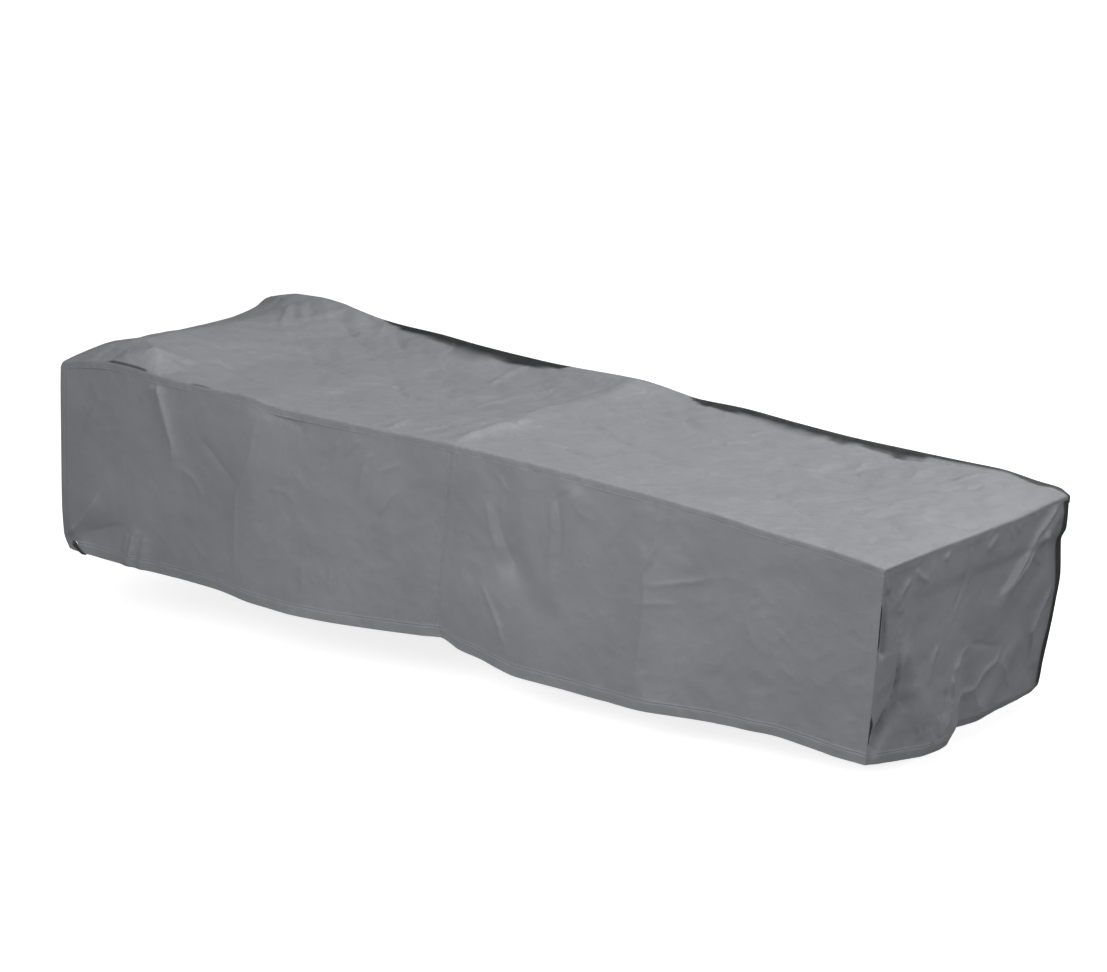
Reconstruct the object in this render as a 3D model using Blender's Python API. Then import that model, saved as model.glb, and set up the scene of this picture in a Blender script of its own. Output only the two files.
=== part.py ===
"""Fitted rain cover for a long, low garden seat, built as its cut and sewn cloth panels.

Every panel is a thin sheet in the shape in which it hangs: a top with its edge turned down and
lapped over the sides, two side walls of two panels each, and an end wall at the head and at the
foot that turns the vertical corners. A cord through two eyelets draws the hems together at one
corner. +X runs from the head to the foot end, +Y to the back, +Z up, in metres. Heights in the
tables are above the ground that the cover hangs over, and the origin is the point that holds it
up: the underside of the top, over the middle ridge.
"""
import math

import bmesh
import bpy
import numpy as np
from mathutils import Matrix, Vector

# ---- driving dimensions ------------------------------------------------------------------------
HALF_LENGTH = 1.050
HALF_WIDTH = 0.354
CLOTH = 0.0020           # thickness of coated cloth with its lapped seams
SEAM_GAP = 0.0003        # between the sheets that meet in a seam
TOP_LAP = 0.015          # the top's turned edge, down each wall
CORNER_LAP = 0.017       # an end wall's turned edge, round each vertical corner
SKIRT = 0.400            # cut height of the walls
SEAM_BLEND = 0.035       # folds die out over this distance from an edge that two walls share

FRONT_SKEW = 0.012       # how far the middle of each long edge is pulled along X
BACK_SKEW = -0.019
FRONT_HEM_SKEW = -0.0165
BACK_HEM_SKEW = 0.010

# Edges of the top: where along the edge, height above the ground.
FRONT_RIM = (
    # along,  height
    (-1.050, 0.5860), (-1.020, 0.5915), (-0.986, 0.5960), (-0.951, 0.5995), (-0.915, 0.6020),
    (-0.883, 0.6010), (-0.837, 0.5975), (-0.815, 0.5942), (-0.793, 0.5900), (-0.745, 0.5875),
    (-0.662, 0.5825), (-0.606, 0.5802), (-0.552, 0.5790), (-0.524, 0.5770), (-0.503, 0.5735),
    (-0.482, 0.5685), (-0.443, 0.5635), (-0.389, 0.5610), (-0.283, 0.5570), (-0.177, 0.5535),
    (-0.125, 0.5515), (-0.022, 0.5490), (0.080, 0.5440), (0.181, 0.5375), (0.281, 0.5310),
    (0.379, 0.5230), (0.477, 0.5145), (0.573, 0.5050), (0.668, 0.4950), (0.762, 0.4820),
    (0.855, 0.4720), (0.947, 0.4610), (1.050, 0.4440),
)
BACK_RIM = (
    # along,  height
    (-1.050, 0.616), (-1.022, 0.622), (-0.963, 0.632), (-0.904, 0.632), (-0.847, 0.627),
    (-0.789, 0.615), (-0.732, 0.604), (-0.675, 0.597), (-0.562, 0.589), (-0.451, 0.577),
    (-0.341, 0.568), (-0.232, 0.561), (-0.072, 0.557), (-0.019, 0.555), (0.034, 0.549),
    (0.086, 0.540), (0.138, 0.532), (0.242, 0.528), (0.394, 0.513), (0.544, 0.500),
    (0.643, 0.495), (0.788, 0.488), (0.884, 0.484), (0.979, 0.470), (1.026, 0.464),
    (1.050, 0.451),
)
HEAD_RIM = (
    # across, height
    (-0.354, 0.586), (-0.300, 0.594), (-0.230, 0.600), (-0.100, 0.596), (0.030, 0.591),
    (0.160, 0.590), (0.200, 0.590), (0.255, 0.594), (0.300, 0.601), (0.335, 0.614),
    (0.354, 0.616),
)
FOOT_RIM = (
    # across, height
    (-0.354, 0.444), (-0.154, 0.4455), (0.000, 0.444), (0.150, 0.444), (0.293, 0.450),
    (0.354, 0.451),
)

# Bottom edges: where along the edge, how far out from the wall's plane, height.
FRONT_HEM = (
    # along,  out,    height
    (-1.045, 0.000, 0.171), (-1.028, 0.002, 0.168), (-0.982, 0.004, 0.164),
    (-0.880, 0.004, 0.157), (-0.756, 0.000, 0.150), (-0.616, 0.006, 0.144),
    (-0.506, 0.010, 0.131), (-0.397, 0.012, 0.125), (-0.289, 0.010, 0.124),
    (-0.182, 0.006, 0.126), (-0.077, 0.000, 0.129), (-0.033, -0.004, 0.130),
    (0.027, 0.000, 0.114), (0.078, 0.004, 0.106), (0.129, 0.008, 0.094),
    (0.180, 0.010, 0.085), (0.281, 0.014, 0.081), (0.381, 0.016, 0.075),
    (0.479, 0.016, 0.071), (0.576, 0.012, 0.071), (0.673, 0.008, 0.072),
    (0.767, 0.004, 0.072), (0.861, 0.002, 0.062), (0.954, 0.001, 0.050),
    (1.012, 0.000, 0.046),
)
BACK_HEM = (
    # along,  out,    height
    (-1.045, 0.000, 0.212), (-0.900, 0.004, 0.205), (-0.700, 0.010, 0.196),
    (-0.450, 0.012, 0.176), (-0.200, 0.004, 0.163), (0.000, -0.002, 0.158),
    (0.200, 0.008, 0.128), (0.450, 0.014, 0.104), (0.700, 0.008, 0.078),
    (0.880, 0.004, 0.047), (0.972, 0.000, 0.022),
)
HEAD_HEM = (
    # across, out,    height
    (-0.354, 0.000, 0.171), (-0.300, 0.004, 0.176), (-0.150, 0.012, 0.182),
    (0.020, 0.014, 0.186), (0.200, 0.010, 0.196), (0.354, 0.000, 0.212),
)
FOOT_HEM = (
    # across, out,    height
    (-0.354, 0.000, 0.046), (-0.300, 0.004, 0.036), (-0.238, 0.017, 0.030),
    (-0.180, 0.031, 0.027), (-0.104, 0.033, 0.028), (-0.050, 0.022, 0.033),
    (0.005, 0.018, 0.034), (0.099, 0.016, 0.032), (0.195, 0.013, 0.029),
    (0.293, 0.006, 0.025), (0.354, 0.000, 0.022),
)

# Vertical corners: how far down (0 top, 1 hem), X past the top's corner, Y past the wall's plane.
CORNERS = {
    ("head", "front"): (
        # down,  x,      y
        (0.00, 0.000, 0.000), (0.05, -0.009, 0.000), (0.45, -0.013, 0.000),
        (0.75, -0.015, 0.000), (0.92, -0.011, 0.000), (1.00, 0.005, 0.000),
    ),
    ("head", "back"): (
        # down,  x,      y
        (0.00, 0.000, 0.000), (0.10, -0.006, 0.002), (0.60, -0.010, 0.006),
        (1.00, 0.005, 0.000),
    ),
    ("foot", "front"): (
        # down,  x,      y
        (0.00, 0.000, 0.000), (0.25, -0.010, -0.001), (0.50, -0.019, -0.003),
        (0.75, -0.028, -0.002), (1.00, -0.038, 0.000),
    ),
    ("foot", "back"): (
        # down,  x,      y
        (0.00, 0.000, 0.000), (0.16, -0.006, 0.002), (0.22, -0.015, -0.003),
        (0.38, -0.016, 0.000), (0.52, -0.025, 0.000), (0.66, -0.036, 0.000),
        (0.84, -0.053, 0.001), (0.95, -0.062, 0.001), (1.00, -0.078, 0.000),
    ),
}

# The top between its edges: depth of the sag at mid width, and depth of the groove inside the
# back edge, which stands up as a taut rail.
TOP_RELIEF = (
    # along,   sag,    groove
    (-1.050, 0.000, 0.000), (-0.990, -0.002, 0.000), (-0.930, -0.004, 0.000),
    (-0.860, 0.004, 0.003), (-0.740, 0.016, 0.008), (-0.600, 0.025, 0.012),
    (-0.420, 0.029, 0.011), (-0.240, 0.020, 0.009), (-0.100, 0.007, 0.004),
    (-0.005, 0.000, 0.000), (0.110, 0.007, 0.007), (0.250, 0.013, 0.011),
    (0.450, 0.016, 0.012), (0.650, 0.015, 0.011), (0.850, 0.010, 0.010),
    (0.980, 0.003, 0.005), (1.050, 0.000, 0.000),
)
GROOVE_RISE = 0.018      # the groove falls from the back edge over this distance
GROOVE_FADE = 0.060      # and fades out into the top over this one

# Main folds, each along a straight line on its face: where it starts and ends (along the face,
# then height, or X then Y on the top), its half width, and how far it stands out at each end.
FOLDS = {
    "top": (
        # from_x, from_y,  to_x,   to_y,  half_width, from_out, to_out
        (-0.930, -0.225, -0.930, 0.050, 0.028, 0.018, 0.008),
        (-0.930, 0.050, -0.930, 0.340, 0.028, 0.008, 0.003),
        (-0.925, -0.320, -0.930, -0.225, 0.022, 0.004, 0.006),
        (-0.905, -0.230, -0.805, -0.335, 0.018, 0.012, 0.006),
        (-0.870, -0.290, -0.860, -0.310, 0.026, -0.004, -0.004),
        (0.012, -0.340, -0.019, 0.340, 0.022, 0.004, 0.005),
        (-0.330, -0.200, -0.060, 0.300, 0.050, -0.004, -0.003),
        (0.110, 0.060, 0.420, -0.080, 0.040, 0.004, 0.003),
        (0.640, -0.250, 0.960, -0.300, 0.040, -0.004, -0.004),
    ),
    "front": (
        # from_x, from_z,  to_x,   to_z,  half_width, from_out, to_out
        (-0.781, 0.560, -0.744, 0.400, 0.022, 0.007, 0.002),
        (-1.020, 0.220, -0.930, 0.330, 0.028, 0.009, 0.003),
        (-0.985, 0.205, -0.900, 0.230, 0.028, -0.006, -0.003),
        (-0.873, 0.165, -0.855, 0.230, 0.014, 0.007, 0.003),
        (-0.837, 0.160, -0.820, 0.215, 0.013, 0.006, 0.002),
        (-0.520, 0.520, -0.545, 0.160, 0.055, 0.004, 0.006),
        (-0.395, 0.340, -0.395, 0.130, 0.150, 0.004, 0.008),
        (0.000, 0.420, -0.033, 0.140, 0.030, -0.003, -0.006),
        (0.133, 0.480, 0.160, 0.320, 0.034, -0.005, -0.006),
        (0.160, 0.320, 0.235, 0.240, 0.034, -0.006, -0.003),
        (0.315, 0.480, 0.262, 0.270, 0.034, 0.006, 0.004),
        (0.510, 0.460, 0.504, 0.100, 0.060, 0.003, 0.009),
        (0.757, 0.400, 0.760, 0.090, 0.040, 0.002, 0.008),
    ),
    "back": (
        # from_x, from_z,  to_x,   to_z,  half_width, from_out, to_out
        (-0.900, 0.580, -0.860, 0.260, 0.050, 0.006, 0.009),
        (-0.560, 0.500, -0.540, 0.200, 0.070, 0.003, 0.008),
        (-0.250, 0.500, -0.280, 0.190, 0.050, -0.005, -0.007),
        (0.020, 0.420, 0.010, 0.160, 0.030, -0.003, -0.006),
        (0.280, 0.460, 0.330, 0.120, 0.070, 0.004, 0.010),
        (0.560, 0.420, 0.540, 0.110, 0.050, -0.004, -0.007),
        (0.820, 0.400, 0.860, 0.080, 0.060, 0.004, 0.009),
    ),
    "head": (
        # from_y, from_z,  to_y,   to_z,  half_width, from_out, to_out
        (-0.200, 0.560, -0.230, 0.200, 0.050, 0.005, 0.009),
        (-0.050, 0.500, -0.020, 0.200, 0.050, -0.004, -0.008),
        (0.140, 0.540, 0.120, 0.210, 0.060, 0.004, 0.010),
        (0.260, 0.560, 0.240, 0.240, 0.030, -0.005, -0.004),
    ),
    "foot": (
        # from_y, from_z,  to_y,   to_z,  half_width, from_out, to_out
        (-0.332, 0.375, -0.334, 0.280, 0.020, -0.016, -0.020),
        (-0.225, 0.190, -0.328, 0.085, 0.030, -0.016, -0.038),
        (-0.254, 0.370, -0.262, 0.250, 0.028, 0.012, 0.014),
        (-0.262, 0.250, -0.200, 0.120, 0.030, 0.014, 0.010),
        (-0.150, 0.240, -0.120, 0.060, 0.080, 0.006, 0.012),
        (-0.010, 0.420, -0.070, 0.290, 0.022, -0.007, -0.006),
        (-0.066, 0.180, -0.070, 0.070, 0.022, 0.008, 0.010),
        (0.000, 0.150, -0.010, 0.040, 0.030, -0.006, -0.012),
        (0.320, 0.415, 0.258, 0.382, 0.024, 0.010, 0.012),
        (0.258, 0.382, 0.117, 0.281, 0.026, 0.012, 0.006),
        (0.300, 0.345, 0.150, 0.230, 0.024, -0.008, -0.005),
        (0.330, 0.250, 0.296, 0.110, 0.030, 0.010, 0.013),
        (0.190, 0.170, 0.080, 0.060, 0.032, 0.007, 0.009),
    ),
}

# Stations where the panels are divided: from, to, number of steps.
LENGTH_STEPS = (
    # from_x, to_x, steps
    (-HALF_LENGTH, CORNER_LAP - HALF_LENGTH, 1), (CORNER_LAP - HALF_LENGTH, -0.970, 2),
    (-0.970, -0.900, 4), (-0.900, -0.740, 4), (-0.740, -0.060, 12), (-0.060, 0.000, 3),
    (0.000, 0.060, 3), (0.060, 0.960, 16), (0.960, HALF_LENGTH - CORNER_LAP, 2),
    (HALF_LENGTH - CORNER_LAP, HALF_LENGTH, 1),
)
WIDTH_STEPS = (
    # from_y, to_y, steps
    (-HALF_WIDTH, CORNER_LAP - HALF_WIDTH, 1), (CORNER_LAP - HALF_WIDTH, -0.250, 3),
    (-0.250, 0.250, 11), (0.250, HALF_WIDTH - CORNER_LAP, 3),
    (HALF_WIDTH - CORNER_LAP, HALF_WIDTH, 1),
)
HEIGHT_STEPS = (
    # from, to (0 top, 1 hem), steps
    (0.0, TOP_LAP / SKIRT, 1), (TOP_LAP / SKIRT, 0.16, 2), (0.16, 0.84, 6), (0.84, 1.0, 2),
)

# Eyelets in the two hems beside the head's front corner, and the cord through them.
EYELET_FLANGE = 0.0085   # radius of the flange
EYELET_BORE = 0.0045     # radius of the hole through it
EYELET_METAL = 0.0008
EYELET_CLEAR = 0.0003    # round the barrel, and under each flange
EYELET_SIDES = 32
EYELETS = {
    # name: (wall, panel that it pierces, in from the corner, up from the hem's edge)
    "eyelet_front": ("front", "front_panel_head", 0.0300, 0.0150),
    "eyelet_head": ("head", "head_end_panel", 0.0250, 0.0150),
}
CORD_RADIUS = 0.0017
CORD_POINTS = 110        # places on the closed loop
# The loop's route beside each eyelet, in millimetres from the middle of its bore on the cloth's
# outer face: away from the corner, down, and out from the cloth. Two turns pass over the front
# hem and one over the head hem.
CORD_ROUTE = (
    # eyelet,        along,  down,   out
    ("eyelet_front", -1.8, 1.1, -8.5), ("eyelet_front", -1.8, 1.1, -2.0),
    ("eyelet_front", -1.6, 1.4, 3.0), ("eyelet_front", 2.3, 8.0, 4.6),
    ("eyelet_front", 5.6, 14.0, 3.8), ("eyelet_front", 8.8, 21.0, 3.6),
    ("eyelet_front", 10.8, 28.2, -1.4), ("eyelet_front", 9.6, 22.5, -7.6),
    ("eyelet_front", 6.4, 11.0, -8.0), ("eyelet_front", 3.4, 2.6, -7.4),
    ("eyelet_front", 2.0, -1.1, -2.6), ("eyelet_front", 2.0, -1.1, 2.8),
    ("eyelet_front", 6.0, 5.9, 4.8), ("eyelet_front", 9.4, 12.4, 3.8),
    ("eyelet_front", 13.4, 20.8, 4.6), ("eyelet_front", 16.6, 30.6, -1.6),
    ("eyelet_front", 15.4, 23.5, -8.6), ("eyelet_front", 6.0, 16.0, -15.0),
    ("eyelet_head", 8.0, 19.0, -11.0), ("eyelet_head", -1.0, 21.6, -5.2),
    ("eyelet_head", -5.6, 21.0, 0.8), ("eyelet_head", -5.2, 15.0, 3.4),
    ("eyelet_head", -3.0, 6.0, 4.8), ("eyelet_head", -0.2, 0.3, 3.0),
    ("eyelet_head", 0.2, -0.2, -2.0), ("eyelet_head", 2.0, -0.6, -8.5),
)

SLATE = (0.235, 0.240, 0.250)
STEEL = (0.560, 0.570, 0.580)
BLACK = (0.012, 0.012, 0.013)


# ---- curves ------------------------------------------------------------------------------------
def smooth(t):
    """Ease from 0 to 1."""
    t = np.clip(t, 0.0, 1.0)
    return t * t * (3.0 - 2.0 * t)


def read(rows, column, at):
    """Read one column of a table at any place, on a smooth curve that never overshoots a row."""
    table = np.array(rows, dtype=float)
    x = table[:, 0]
    y = table[:, column]
    step = np.diff(x)
    slope = np.diff(y) / step
    tangent = np.zeros_like(y)
    same_way = slope[:-1] * slope[1:] > 0.0
    mean = 2.0 * slope[:-1] * slope[1:] / np.where(same_way, slope[:-1] + slope[1:], 1.0)
    tangent[1:-1] = np.where(same_way, mean, 0.0)
    tangent[0] = slope[0]
    tangent[-1] = slope[-1]
    at = np.clip(at, x[0], x[-1])
    i = np.clip(np.searchsorted(x, at) - 1, 0, len(x) - 2)
    t = (at - x[i]) / step[i]
    h = step[i]
    return ((1 + 2 * t) * (1 - t) ** 2 * y[i] + t * (1 - t) ** 2 * h * tangent[i]
            + t * t * (3 - 2 * t) * y[i + 1] + t * t * (t - 1) * h * tangent[i + 1])


def stations(rows):
    """All stations of a step table, as one rising list."""
    places = [rows[0][0]]
    for low, high, steps in rows:
        places += [low + (high - low) * k / steps for k in range(1, steps + 1)]
    return np.array(places)


# ---- the faces of the cover --------------------------------------------------------------------
def rim(face, s):
    """Points of a top edge; s runs from 0 to 1 along +X or +Y."""
    if face in ("front", "back"):
        skew = FRONT_SKEW if face == "front" else BACK_SKEW
        rows = FRONT_RIM if face == "front" else BACK_RIM
        x = -HALF_LENGTH + 2 * HALF_LENGTH * s + 4 * skew * s * (1 - s)
        y = np.full_like(s, -HALF_WIDTH if face == "front" else HALF_WIDTH)
        return np.stack([x, y, read(rows, 1, x)], axis=-1)
    rows = HEAD_RIM if face == "head" else FOOT_RIM
    x = np.full_like(s, -HALF_LENGTH if face == "head" else HALF_LENGTH)
    y = -HALF_WIDTH + 2 * HALF_WIDTH * s
    return np.stack([x, y, read(rows, 1, y)], axis=-1)


def hem(face, s):
    """Points of a bottom edge; s runs from 0 to 1 along +X or +Y."""
    rows = {"front": FRONT_HEM, "back": BACK_HEM, "head": HEAD_HEM, "foot": FOOT_HEM}[face]
    low, high = rows[0][0], rows[-1][0]
    along = low + (high - low) * s
    if face in ("front", "back"):
        skew = FRONT_HEM_SKEW if face == "front" else BACK_HEM_SKEW
        x = along + 4 * skew * s * (1 - s)
        out = read(rows, 1, x)
        y = -HALF_WIDTH - out if face == "front" else HALF_WIDTH + out
        return np.stack([x, y, read(rows, 2, x)], axis=-1)
    out = read(rows, 1, along)
    first = corner(face, "front", np.array([1.0]))[0, 0]
    last = corner(face, "back", np.array([1.0]))[0, 0]
    x = first + (last - first) * s + (-out if face == "head" else out)
    return np.stack([x, along, read(rows, 2, along)], axis=-1)


def corner(end, side, down):
    """Points of a vertical corner; down runs from 0 at the top to 1 at the hem."""
    rows = CORNERS[(end, side)]
    sign_x = -1.0 if end == "head" else 1.0
    sign_y = -1.0 if side == "front" else 1.0
    rims = FRONT_RIM if side == "front" else BACK_RIM
    hems = FRONT_HEM if side == "front" else BACK_HEM
    pick = 0 if end == "head" else -1
    top, bottom = rims[pick][1], hems[pick][2]
    x = sign_x * HALF_LENGTH + read(rows, 1, down)
    y = sign_y * (HALF_WIDTH + read(rows, 2, down))
    return np.stack([x, y, top + (bottom - top) * down], axis=-1)


def relief(face, p, q):
    """How far the folds of a face stand out at the places (p, q)."""
    total = np.zeros_like(p)
    for p0, q0, p1, q1, half_width, from_out, to_out in FOLDS[face]:
        run = math.hypot(p1 - p0, q1 - q0)
        t = ((p - p0) * (p1 - p0) + (q - q0) * (q1 - q0)) / run ** 2
        t = np.clip(t, 0.0, 1.0)
        apart = np.hypot(p - p0 - t * (p1 - p0), q - q0 - t * (q1 - q0))
        total += (from_out + (to_out - from_out) * t) * np.exp(-(apart / half_width) ** 2)
    return total


def wall_points(face, s, down):
    """Outer points of a wall at fractions s along it and down from the top edge to the hem."""
    if face in ("front", "back"):
        run = 2 * HALF_LENGTH
        first, last = corner("head", face, down), corner("foot", face, down)
    else:
        run = 2 * HALF_WIDTH
        first, last = corner(face, "front", down), corner(face, "back", down)
    top, bottom = rim(face, s), hem(face, s)
    zero, one = np.zeros(1), np.ones(1)
    s, down = s[..., None], down[..., None]
    points = top * (1 - down) + bottom * down + first * (1 - s) + last * s
    points -= (rim(face, zero) * (1 - s) + rim(face, one) * s) * (1 - down)
    points -= (hem(face, zero) * (1 - s) + hem(face, one) * s) * down
    s, down = s[..., 0], down[..., 0]
    blend = smooth(s * run / SEAM_BLEND) * smooth((1 - s) * run / SEAM_BLEND)
    blend *= smooth(down * SKIRT / SEAM_BLEND)
    axis, sign = {"front": (1, -1), "back": (1, 1), "head": (0, -1), "foot": (0, 1)}[face]
    points[..., axis] += sign * blend * relief(face, points[..., 1 - axis], points[..., 2])
    return points


def top_points(a, b):
    """Outer points of the top at fractions a from head to foot and b from front to back."""
    front, back, head, foot = rim("front", a), rim("back", a), rim("head", b), rim("foot", b)
    zero, one = np.zeros(1), np.ones(1)
    corners = {(i, j): rim(face, end) for (i, j), face, end in (
        ((0, 0), "front", zero), ((1, 0), "front", one),
        ((0, 1), "back", zero), ((1, 1), "back", one))}
    u, v = a[..., None], b[..., None]
    points = front * (1 - v) + back * v + head * (1 - u) + foot * u
    points -= corners[0, 0] * (1 - u) * (1 - v) + corners[1, 0] * u * (1 - v)
    points -= corners[0, 1] * (1 - u) * v + corners[1, 1] * u * v
    x, y = points[..., 0], points[..., 1]
    across = np.clip(np.abs(2 * b - 1), 0, 1)
    inside = HALF_WIDTH - y
    groove = smooth(inside / GROOVE_RISE) * np.exp(-(inside / GROOVE_FADE) ** 2)
    edge = smooth((HALF_WIDTH - np.abs(y)) / SEAM_BLEND)
    edge = edge * smooth((HALF_LENGTH - np.abs(x)) / SEAM_BLEND)
    points[..., 2] -= read(TOP_RELIEF, 1, x) * (1 - across ** 3)
    points[..., 2] -= read(TOP_RELIEF, 2, x) * groove
    points[..., 2] += edge * relief("top", x, y)
    return points


# ---- the skin: one sheet of quads, each marked with its panel ------------------------------------
def skin():
    """Vertices and marked faces of the whole cover, before it is cut along its seams."""
    length, width = stations(LENGTH_STEPS), stations(WIDTH_STEPS)
    a = (length + HALF_LENGTH) / (2 * HALF_LENGTH)
    b = (width + HALF_WIDTH) / (2 * HALF_WIDTH)
    down = stations(HEIGHT_STEPS)
    na, nb, nd = len(a) - 1, len(b) - 1, len(down) - 1
    grid_a, grid_b = np.meshgrid(a, b, indexing="ij")
    points = list(top_points(grid_a, grid_b).reshape(-1, 3))
    number = {("top", i, j): i * (nb + 1) + j for i in range(na + 1) for j in range(nb + 1)}

    loop = [("front", i) for i in range(na)] + [("foot", j) for j in range(nb)]
    loop += [("back", i) for i in range(na, 0, -1)] + [("head", j) for j in range(nb, 0, -1)]
    at_rim = {"front": lambda i: (i, 0), "back": lambda i: (i, nb),
              "head": lambda j: (0, j), "foot": lambda j: (na, j)}
    rings = [[number[("top",) + at_rim[face](k)] for face, k in loop]]
    for step in range(1, nd + 1):
        ring = []
        for face, k in loop:
            s = (a if face in ("front", "back") else b)[k]
            place = wall_points(face, np.array([s]), np.array([down[step]]))[0]
            number[(face, k, step)] = len(points)
            ring.append(len(points))
            points.append(place)
        rings.append(ring)
    number.update({("head", 0, step): number[("front", 0, step)] for step in range(1, nd + 1)})
    cells = {name: flat_cell(points, number, wall, inset, rise)
             for name, (wall, _, inset, rise) in EYELETS.items()}

    faces = []
    for i in range(na):
        for j in range(nb):
            quad = [(i, j), (i + 1, j), (i + 1, j + 1), (i, j + 1)]
            faces.append(("top_panel", [number[("top",) + q] for q in quad]))
    middle = int(np.argmin(np.abs(length)))
    for step in range(nd):
        for k, (face, at) in enumerate(loop):
            after = (k + 1) % len(loop)
            low = at - 1 if face in ("back", "head") else at
            name = wall_panel(face, low, na, middle) if step else "top_panel"
            quad = [rings[step][k], rings[step + 1][k], rings[step + 1][after], rings[step][after]]
            faces.append((name, quad))
    return points, faces, cells


def step_at(places, distance):
    """The step that lies this far past the first station, and how much of it is passed."""
    reach = places - places[0]
    step = int(np.searchsorted(reach, distance)) - 1
    return step, (distance - reach[step]) / (reach[step + 1] - reach[step])


def flat_cell(points, number, wall, inset, rise):
    """Flatten the quad that an eyelet is pressed into; give its corners and the place in it."""
    i, u = step_at(stations(LENGTH_STEPS if wall == "front" else WIDTH_STEPS), inset)
    k, v = step_at(stations(HEIGHT_STEPS) * SKIRT, SKIRT - rise)
    quad = [number[(wall, i, k)], number[(wall, i + 1, k)],
            number[(wall, i + 1, k + 1)], number[(wall, i, k + 1)]]
    p = [points[n] for n in quad]
    normal = np.cross(p[2] - p[0], p[3] - p[1])
    normal /= np.linalg.norm(normal)
    twist = np.dot(p[0] - p[1] + p[2] - p[3], normal) / 4
    for n, way in zip(quad, (-1, 1, -1, 1)):
        points[n] = points[n] + way * twist * normal
    return [Vector(points[n]) for n in quad], u, v


def wall_panel(face, low, na, middle):
    """The panel that a wall's quad belongs to; the end walls turn the vertical corners."""
    if face in ("head", "foot"):
        return face + "_end_panel"
    if low == 0:
        return "head_end_panel"
    if low == na - 1:
        return "foot_end_panel"
    return face + ("_panel_head" if low < middle else "_panel_foot")


def mitre(normals, distance):
    """The shift that lies at one distance from every one of these planes."""
    total = sum(normals, Vector()).normalized()
    lean = sum(total.dot(n) for n in normals) / len(normals)
    return total * (distance / max(lean, 0.4))


def cut_panels():
    """Each panel as outer points, inner points and triangles, parted along its seams."""
    points, marked, cells = skin()
    whole = bmesh.new()
    verts = [whole.verts.new(p) for p in points]
    layer = whole.faces.layers.int.new("panel")
    names = sorted({name for name, _ in marked})
    for name, quad in marked:
        face = whole.faces.new([verts[k] for k in quad])
        face[layer] = names.index(name)
    bmesh.ops.triangulate(whole, faces=whole.faces[:], quad_method="SHORT_EDGE")
    whole.normal_update()
    whole.verts.index_update()
    inward = {v.index: mitre([f.normal for f in v.link_faces], -CLOTH) for v in whole.verts}
    panels = {}
    for n, name in enumerate(names):
        mine = [f for f in whole.faces if f[layer] == n]
        pulls = {}
        for face in mine:
            for edge in face.edges:
                other = [f for f in edge.link_faces if f is not face]
                if not other or other[0][layer] == n:
                    continue
                along = (edge.verts[1].co - edge.verts[0].co).normalized()
                into = face.normal.cross(along)
                if into.dot(face.calc_center_median() - edge.verts[0].co) < 0:
                    into = -into
                for v in edge.verts:
                    pulls.setdefault(v.index, []).append(into.normalized())
        used = sorted({v.index for f in mine for v in f.verts})
        outer = {}
        for k in used:
            shift = mitre(pulls[k], SEAM_GAP / 2) if k in pulls else Vector()
            outer[k] = Vector(points[k]) + shift
        inner = {k: outer[k] + inward[k] for k in used}
        triangles = [[v.index for v in f.verts] for f in mine]
        panels[name] = (used, outer, inner, triangles)
    whole.free()
    return panels, cells


# ---- objects -----------------------------------------------------------------------------------
def material(name, colour, roughness, metallic=0.0):
    """A Principled material."""
    made = bpy.data.materials.new(name)
    made.use_nodes = True
    shader = made.node_tree.nodes["Principled BSDF"]
    shader.inputs["Base Color"].default_value = (*colour, 1.0)
    shader.inputs["Roughness"].default_value = roughness
    shader.inputs["Metallic"].default_value = metallic
    return made


def add_object(name, mesh, finish):
    """Link a finished mesh into the scene under its sub-part's name."""
    made = bpy.data.objects.new(name, mesh)
    mesh.materials.append(finish)
    bpy.context.scene.collection.objects.link(made)
    return made


def panel_object(name, panel, lift, finish):
    """Close a panel's outer and inner faces with a rim of walls."""
    used, outer, inner, triangles = panel
    order = {k: n for n, k in enumerate(used)}
    count = len(used)
    places = [outer[k] - lift for k in used] + [inner[k] - lift for k in used]
    faces = [[order[k] for k in t] for t in triangles]
    faces += [[order[k] + count for k in reversed(t)] for t in triangles]
    directed = {(t[n], t[(n + 1) % 3]) for t in triangles for n in range(3)}
    for low, high in directed:
        if (high, low) not in directed:
            p, q = order[low], order[high]
            if low < high:
                faces += [[q, p, p + count], [q, p + count, q + count]]
            else:
                faces += [[q, p, q + count], [p, p + count, q + count]]
    mesh = bpy.data.meshes.new(name)
    mesh.from_pydata(places, [], faces)
    mesh.shade_smooth()
    mesh.set_sharp_from_angle(angle=math.radians(40))
    return add_object(name, mesh, finish)


def held_point():
    """Underside of the top over the middle ridge, which becomes the origin."""
    middle = top_points(np.array([0.5]), np.array([0.5]))[0]
    return Vector((0.0, 0.0, middle[2] - CLOTH))


def eyelet_frame(wall, cell, lift):
    """Axes at an eyelet's middle on the cloth's outer face: sideways, down and out from the
    cloth, and which way sideways leads away from the corner."""
    (near_top, far_top, far_hem, near_hem), u, v = cell
    above, below = near_top.lerp(far_top, u), near_hem.lerp(far_hem, u)
    fall = (below - above).normalized()
    away = (far_top.lerp(far_hem, v) - near_top.lerp(near_hem, v)).normalized()
    out = (away.cross(fall) if wall == "head" else fall.cross(away)).normalized()
    side = fall.cross(out)
    frame = Matrix((side, fall, out)).transposed().to_4x4()
    frame.translation = above.lerp(below, v) - lift
    return frame, 1.0 if side.dot(away) > 0 else -1.0


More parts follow.
